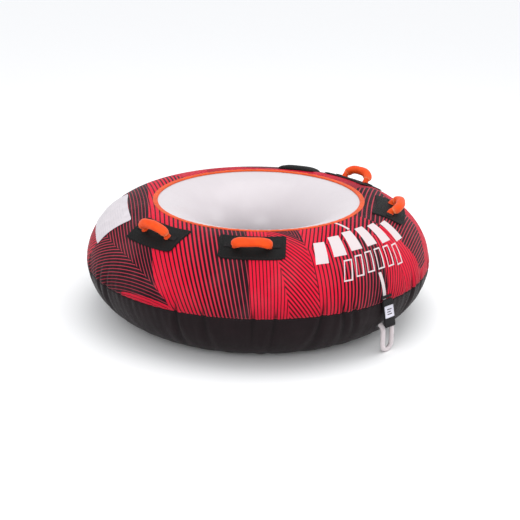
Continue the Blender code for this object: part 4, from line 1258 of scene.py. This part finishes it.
def build_label():
    place = patch_place(LABEL_HEADING, LABEL_ANGLE, LABEL_SKEW, LABEL_BOW, LABEL_WIDTH)

    def ripple(a, b):
        lip = np.clip(np.abs(a) - 0.93, 0, 1) * 0.012
        wave = 0.0005 * np.sin(9 * a + 3 * b) * (1 - b * b)
        return 0.0006 + lip + wave + 0.0004 * np.sin(17 * a - 2 * b)

    item = slab(
        "warning_panel", place, LABEL_WIDTH, LABEL_DEPTH, SEWN_LIFT, 0.0011,
        "label", 0.002, 0.004, (60, 30), ripple,
    )
    half = np.array([LABEL_WIDTH, LABEL_DEPTH]) / 2 - LABEL_MARGIN
    cloth = np.zeros(len(item.data.loops) * 2, np.float32)
    item.data.uv_layers["cloth"].data.foreach_get("uv", cloth)
    add_values(item, "margin", "CORNER", (np.abs(cloth.reshape(-1, 2)) < half).all(1))
    finish_piece(item, "tube", "warning_label")
    lifted = raised(place, LABEL_WIDTH, LABEL_DEPTH, ripple)
    line = rectangle_line(lifted, LABEL_WIDTH - 0.011, LABEL_DEPTH - 0.011, SEWN_LIFT + 0.0012)
    sew("label_stitches", line, LABEL_GAUGE, thread="woven_label")


def flap_place(u, v, lift):
    """A place on the valve flap, whose edges are straight where the ring curves."""
    u, v, lift = np.broadcast_arrays(u, v, lift)
    turn = math.radians(VALVE_HEADING)
    along = np.array([math.cos(turn), math.sin(turn), 0])
    out = np.array([math.sin(turn), -math.cos(turn), 0])
    radius_here = section(angle_at(length_at(VALVE_ANGLE) + v))[0]
    radius = np.hypot(radius_here, u)
    upper = (SECTION_ANGLES >= 0) & (SECTION_ANGLES <= 180)
    here = np.interp(-radius, -SECTION_POINTS[upper, 0], SECTION_ANGLES[upper])
    radius, height = section(here, lift)
    level = out * np.sqrt(np.maximum(radius**2 - u**2, 0))[..., None] + along * u[..., None]
    level[..., 2] += height
    return level


def build_flap():
    def bulge(a, b):
        crown = (1 - a**4) * (1 - b**4)
        wave = 0.0007 * np.sin(3.5 * a + 1.0) * np.sin(2.5 * b)
        return FLAP_CROWN * crown + wave + 0.0016 * np.clip(a * 1.2 - 0.9, 0, 1)

    low = 2 * SEWN_LIFT + TAPE_THICKNESS
    item = slab(
        "valve_flap_pad", flap_place, FLAP_WIDTH, FLAP_DEPTH, low, FLAP_THICKNESS + 0.0008,
        "pad", 0.004, 0.005, (32, 22), bulge,
    )
    finish_piece(item, "valve_flap", "valve_flap")
    lifted = raised(flap_place, FLAP_WIDTH, FLAP_DEPTH, bulge)
    top = low + FLAP_THICKNESS + 0.0009
    sew_rows("flap_stitches", lifted, FLAP_WIDTH, FLAP_DEPTH, top, "valve_flap")
    drop = -FLAP_DEPTH / 2 + HOOK_STRIP_DEPTH / 2 + HOOK_STRIP_INSET
    place = patch_place(VALVE_HEADING, float(angle_at(length_at(VALVE_ANGLE) + drop)))
    strip = slab(
        "flap_hook_tape", place, HOOK_STRIP_WIDTH, HOOK_STRIP_DEPTH, SEWN_LIFT, TAPE_THICKNESS,
        "tape", 0.0008, 0.0006, (40, 6),
    )
    finish_piece(strip, "tube", "flap_hook_strip")
    top = SEWN_LIFT + TAPE_THICKNESS
    line = rectangle_line(place, HOOK_STRIP_WIDTH - 0.004, HOOK_STRIP_DEPTH - 0.004, top)
    sew("hook_tape_stitches", line, HOOK_GAUGE)
    set_material("valve_base", "white_plastic")
    set_material("valve_insert", "black_plastic")
    set_material("valve_cap", "black_plastic")


# --- the tow point ------------------------------------------------------------------------------


def tab_place(u, v, lift):
    """A place on the tow tab: across it, up it, and out from its back face."""
    turn = math.radians(TAB_HEADING)
    along = np.array([math.cos(turn), math.sin(turn), 0])
    inward = np.array([-math.sin(turn), math.cos(turn), 0])
    u, v, lift = np.broadcast_arrays(u, v, lift)
    bow = 0.0010 * np.sin((v / TAB_LENGTH + 0.5) * math.pi)
    narrow = 1 - 0.04 * np.clip(v / TAB_LENGTH + 0.5, 0, 1)
    x = u * narrow + TAB_SLANT * (TAB_LENGTH / 2 - v)
    y = TAB_THICKNESS / 2 - OUTER_DIAMETER / 2 - TAB_STANDOFF - lift - bow
    placed = x[..., None] * along + y[..., None] * inward
    placed[..., 2] = SEAM_HEIGHT + TAB_PIVOT_RISE - TAB_LENGTH / 2 + v
    return placed


def build_tow_tab():
    tab = slab(
        "tow_webbing", shifted(tab_place, 0.0, -0.0003), TAB_WIDTH, TAB_LENGTH - 0.0006, 0.0,
        TAB_THICKNESS, "webbing", 0.0018, TAB_BEVEL * 0.9, (16, 40),
    )
    finish_piece(tab, "tow_tab", "tow_tab")
    top = TAB_THICKNESS + 0.0001
    for index, (low, high) in enumerate(TOW_BOXES):
        boxed = shifted(tab_place, 0.0, (low + high) / 2)
        line = rectangle_line(boxed, TAB_WIDTH - 0.010, high - low, top, 0.003)
        sew(f"tow_box_{index + 1}", line, TAB_GAUGE, "tow_tab")
    label_place = shifted(tab_place, 0.0, TAB_LENGTH / 2 - TOW_LABEL_DROP - TOW_LABEL_SIZE / 2)
    label = slab(
        "tow_cloth_label", label_place, TOW_LABEL_SIZE, TOW_LABEL_SIZE, top + 0.0002, 0.0008,
        "woven_label", 0.0008, 0.001, (12, 12),
    )
    finish_piece(label, "tow_tab", "tow_label")
    sewn_size = TOW_LABEL_SIZE - 0.004
    line = rectangle_line(label_place, sewn_size, sewn_size, top + 0.0011, 0.002)
    sew("tow_label_stitches", line, TOW_LABEL_GAUGE, "tow_tab")
    for index, (u, v, width, height) in enumerate(TOW_LABEL_MARKS):
        mark = slab(
            f"tow_label_mark_{index + 1}", shifted(label_place, u, v), width, height, top + 0.0010,
            0.0003, "thread", 0.0006, 0.0, (4, 4),
        )
        finish_piece(mark, "tow_tab")
    angle = math.degrees(math.asin((TAB_PIVOT_RISE + TAB_ANCHOR_RISE) / (RING_HEIGHT / 2)))
    middle_angle = float(angle_at(length_at(angle) + TAB_ANCHOR_DEPTH / 2))
    place = patch_place(TAB_HEADING, middle_angle)
    anchor = slab(
        "tow_anchor_webbing", place, TAB_WIDTH, TAB_ANCHOR_DEPTH, SEWN_LIFT, TAB_ANCHOR_THICKNESS,
        "webbing", 0.0015, 0.002, (14, 8),
    )
    finish_piece(anchor, "tube", "tow_tab_anchor")
    top = SEWN_LIFT + TAB_ANCHOR_THICKNESS
    line = rectangle_line(place, TAB_WIDTH - 0.007, TAB_ANCHOR_DEPTH - 0.007, top, 0.002)
    sew("tow_anchor_stitches", line, TAB_ANCHOR_GAUGE)


def smooth_route(points, per_span):
    """Points of a smooth curve through the route's points."""
    points = [Vector(point) for point in points]
    padded = [2 * points[0] - points[1]] + points + [2 * points[-1] - points[-2]]
    route = []
    for a, b, c, d in zip(padded, padded[1:], padded[2:], padded[3:]):
        for step in range(per_span):
            t = step / per_span
            bend = (2 * a - 5 * b + 4 * c - d) * t**2 + (3 * b - a - 3 * c + d) * t**3
            route.append(0.5 * (2 * b + (c - a) * t + bend))
    return route + [points[-1]]


def build_rope():
    """The tow rope: a braided loop between its two eyelets."""
    other_side = [(-x, y, z) for x, y, z in ROPE_ROUTE[-2::-1]]
    route = np.array(smooth_route(list(ROPE_ROUTE) + other_side, 2))
    lengths = run_lengths(route)
    even = np.linspace(0, lengths[-1], 420)
    path = points_at(even, lengths, route)
    turn = circle(ROPE_SIDES)
    radius = ROPE_DIAMETER / 2
    rows = []
    for place, direction, length in zip(path, unit(np.gradient(path, axis=0)), even):
        first = unit(np.cross(direction, (0.0, 1.0, 0.0)))
        second = np.cross(direction, first)
        twist = length * 2 * np.pi / 0.052
        left = np.sin(4 * (turn + twist))
        right = np.sin(4 * (turn - twist))
        strand = np.where(left * right > 0, np.abs(left), np.abs(right))
        radii = radius * (1.03 + 0.13 * strand**0.7)
        outward = np.cos(turn)[:, None] * first + np.sin(turn)[:, None] * second
        rows.append(place + radii[:, None] * outward)
    to_heading = np.array(Matrix.Rotation(math.radians(ROPE_HEADING), 3, "Z")).T
    points = np.array(rows) @ to_heading
    route = route @ to_heading
    points[..., 2] = np.maximum(points[..., 2], 0.0003)
    girth = radius * np.linspace(0, 2 * np.pi, ROPE_SIDES + 1)
    item = grid_object("tow_rope_braid", points, girth, even, "rope")
    finish_piece(item, "tube", "tow_rope")
    tuple(route[0])
    [tuple(point) for point in route]
    set_material("rope_eyelet_left", "black_plastic")
    set_material("rope_eyelet_right", "black_plastic")


# --- the zip ------------------------------------------------------------------------------------


def zip_teeth(place, half, low):
    """Points and faces of the teeth, which stand on alternate sides of the zip's middle."""
    points = []
    faces = []
    shape_u = np.array([-0.00095, 0.00095, 0.00095, -0.00095])
    shape_v = np.array([-0.0012, -0.0012, 0.0028, 0.0028])
    levels = ((0.0, 0.85), (0.0011, 1.0), (0.0019, 0.9), (0.0023, 0.55))
    for index in range(int(2 * half / ZIP_PITCH)):
        u = -half + (index + 0.5) * ZIP_PITCH
        side = 1 if index % 2 else -1
        first = len(points)
        for rise, scale in levels:
            vs = side * (shape_v * scale + 0.0004)
            points.extend(place(u + shape_u * scale, vs, low + rise).tolist())
        for level in range(len(levels) - 1):
            base = first + level * 4
            for k in range(4):
                n = (k + 1) % 4
                faces.append([base + k, base + n, base + 4 + n, base + 4 + k])
        last = first + 4 * (len(levels) - 1)
        faces.append([last, last + 1, last + 2, last + 3])
    return points, faces


def build_zip():
    place = patch_place(ZIP_HEADING, ZIP_ANGLE)
    top = SEWN_LIFT + TAPE_THICKNESS
    tape = slab(
        "zip_tape_strip", place, ZIP_LENGTH, ZIP_TAPE_WIDTH, SEWN_LIFT, TAPE_THICKNESS,
        "tape", 0.0008, 0.001, (90, 8),
    )
    finish_piece(tape, "tube", "zip_tape")
    u = np.linspace(-ZIP_LENGTH / 2 + 0.004, ZIP_LENGTH / 2 - 0.004, 120)
    for index, side in enumerate((-1, 1)):
        v = side * ZIP_SEAM_OFFSET + 0 * u
        line = (place(u, v, top), normals_from(place, u, v, 0.001))
        sew(f"zip_stitches_{index + 1}", line, ZIP_GAUGE, closed=False)
    points, faces = zip_teeth(place, ZIP_LENGTH / 2 - SLIDER_LENGTH, top + 0.0003)
    cloth = np.zeros((len(faces) * 4, 2))
    teeth = add_mesh("zip_teeth", points, faces, cloth, "black_plastic", False)
    with mesh_edit(teeth.data) as work:
        bmesh.ops.recalc_face_normals(work, faces=work.faces)
    finish_piece(teeth, "tube", "zip_chain")
    set_material("zip_slider", "nickel")
    set_material("zip_pull", "nickel")


# --- stage, light and camera --------------------------------------------------------------------


def build_stage():
    mesh = bpy.data.meshes.new("studio_floor")
    with mesh_edit(mesh) as work:
        bmesh.ops.create_grid(work, x_segments=8, y_segments=8, size=30)
    paint = Paint("floor_paper", {"Roughness": 0.9, "Specular IOR Level": 0.05})
    grain = paint.noise(paint.object_place(), 3.0, 2.0)
    paint.set("Base Color", paint.mix(grain, (0.98, 0.98, 0.98, 1), (0.985, 0.985, 0.985, 1)))
    mesh.materials.append(paint.material)
    floor = bpy.data.objects.new("studio_floor", mesh)
    bpy.context.scene.collection.objects.link(floor)
    world = bpy.data.worlds.new("studio_world")
    world.use_nodes = True
    background = world.node_tree.nodes["Background"]
    background.inputs["Color"].default_value = (0.97, 0.98, 1.0, 1.0)
    background.inputs["Strength"].default_value = 0.98
    bpy.context.scene.world = world
    bpy.context.scene.view_settings.view_transform = "Standard"


def add_light(name, place, target, size, power):
    data = bpy.data.lights.new(name, "AREA")
    data.shape = "RECTANGLE"
    data.size, data.size_y = size
    data.energy = power
    item = bpy.data.objects.new(name, data)
    item.location = place
    item.rotation_mode = "QUATERNION"
    item.rotation_quaternion = (Vector(target) - Vector(place)).to_track_quat("-Z", "Y")
    bpy.context.scene.collection.objects.link(item)


def build_lights():
    centre = (0, 0, 0.25)
    add_light("top_light", (0.2, -0.3, 3.2), centre, (3.4, 3.0), 44.0)
    add_light("front_light", (-2.9, -2.6, 1.9), centre, (2.0, 1.6), 34.0)
    add_light("side_light", (2.6, -1.2, 1.6), centre, (1.6, 1.4), 12.0)


CAMERA_DISTANCE = 5.1375
CAMERA_HEADING = -42.5
CAMERA_ELEVATION = 19.45
CAMERA_ROLL = 0.78
CAMERA_SHIFT = (0.003846, -0.014615)


def build_camera():
    data = bpy.data.cameras.new("camera")
    data.sensor_width = 36.0
    data.lens = 87.9
    data.shift_x, data.shift_y = CAMERA_SHIFT
    data.clip_end = 100
    camera = bpy.data.objects.new("camera", data)
    turn = math.radians(CAMERA_HEADING)
    rise = math.radians(CAMERA_ELEVATION)
    back = Vector((math.sin(turn) * math.cos(rise), -math.cos(turn) * math.cos(rise), math.sin(rise)))
    camera.location = Vector((0, 0, SEAM_HEIGHT)) + CAMERA_DISTANCE * back
    camera.rotation_mode = "QUATERNION"
    roll = Matrix.Rotation(math.radians(CAMERA_ROLL), 3, "Z").to_quaternion()
    camera.rotation_quaternion = (-back).to_track_quat("-Z", "Y") @ roll
    bpy.context.scene.collection.objects.link(camera)
    bpy.context.scene.camera = camera


build_camera()
build_rope()
build_stage()
build_lights()
build_cover_top()
build_cover_side()
build_base()
build_bladder()
build_rim()
for number, handle in enumerate(HANDLES):
    build_handle(*handle, 21 + number)
build_label()
build_flap()
build_tow_tab()
build_zip()
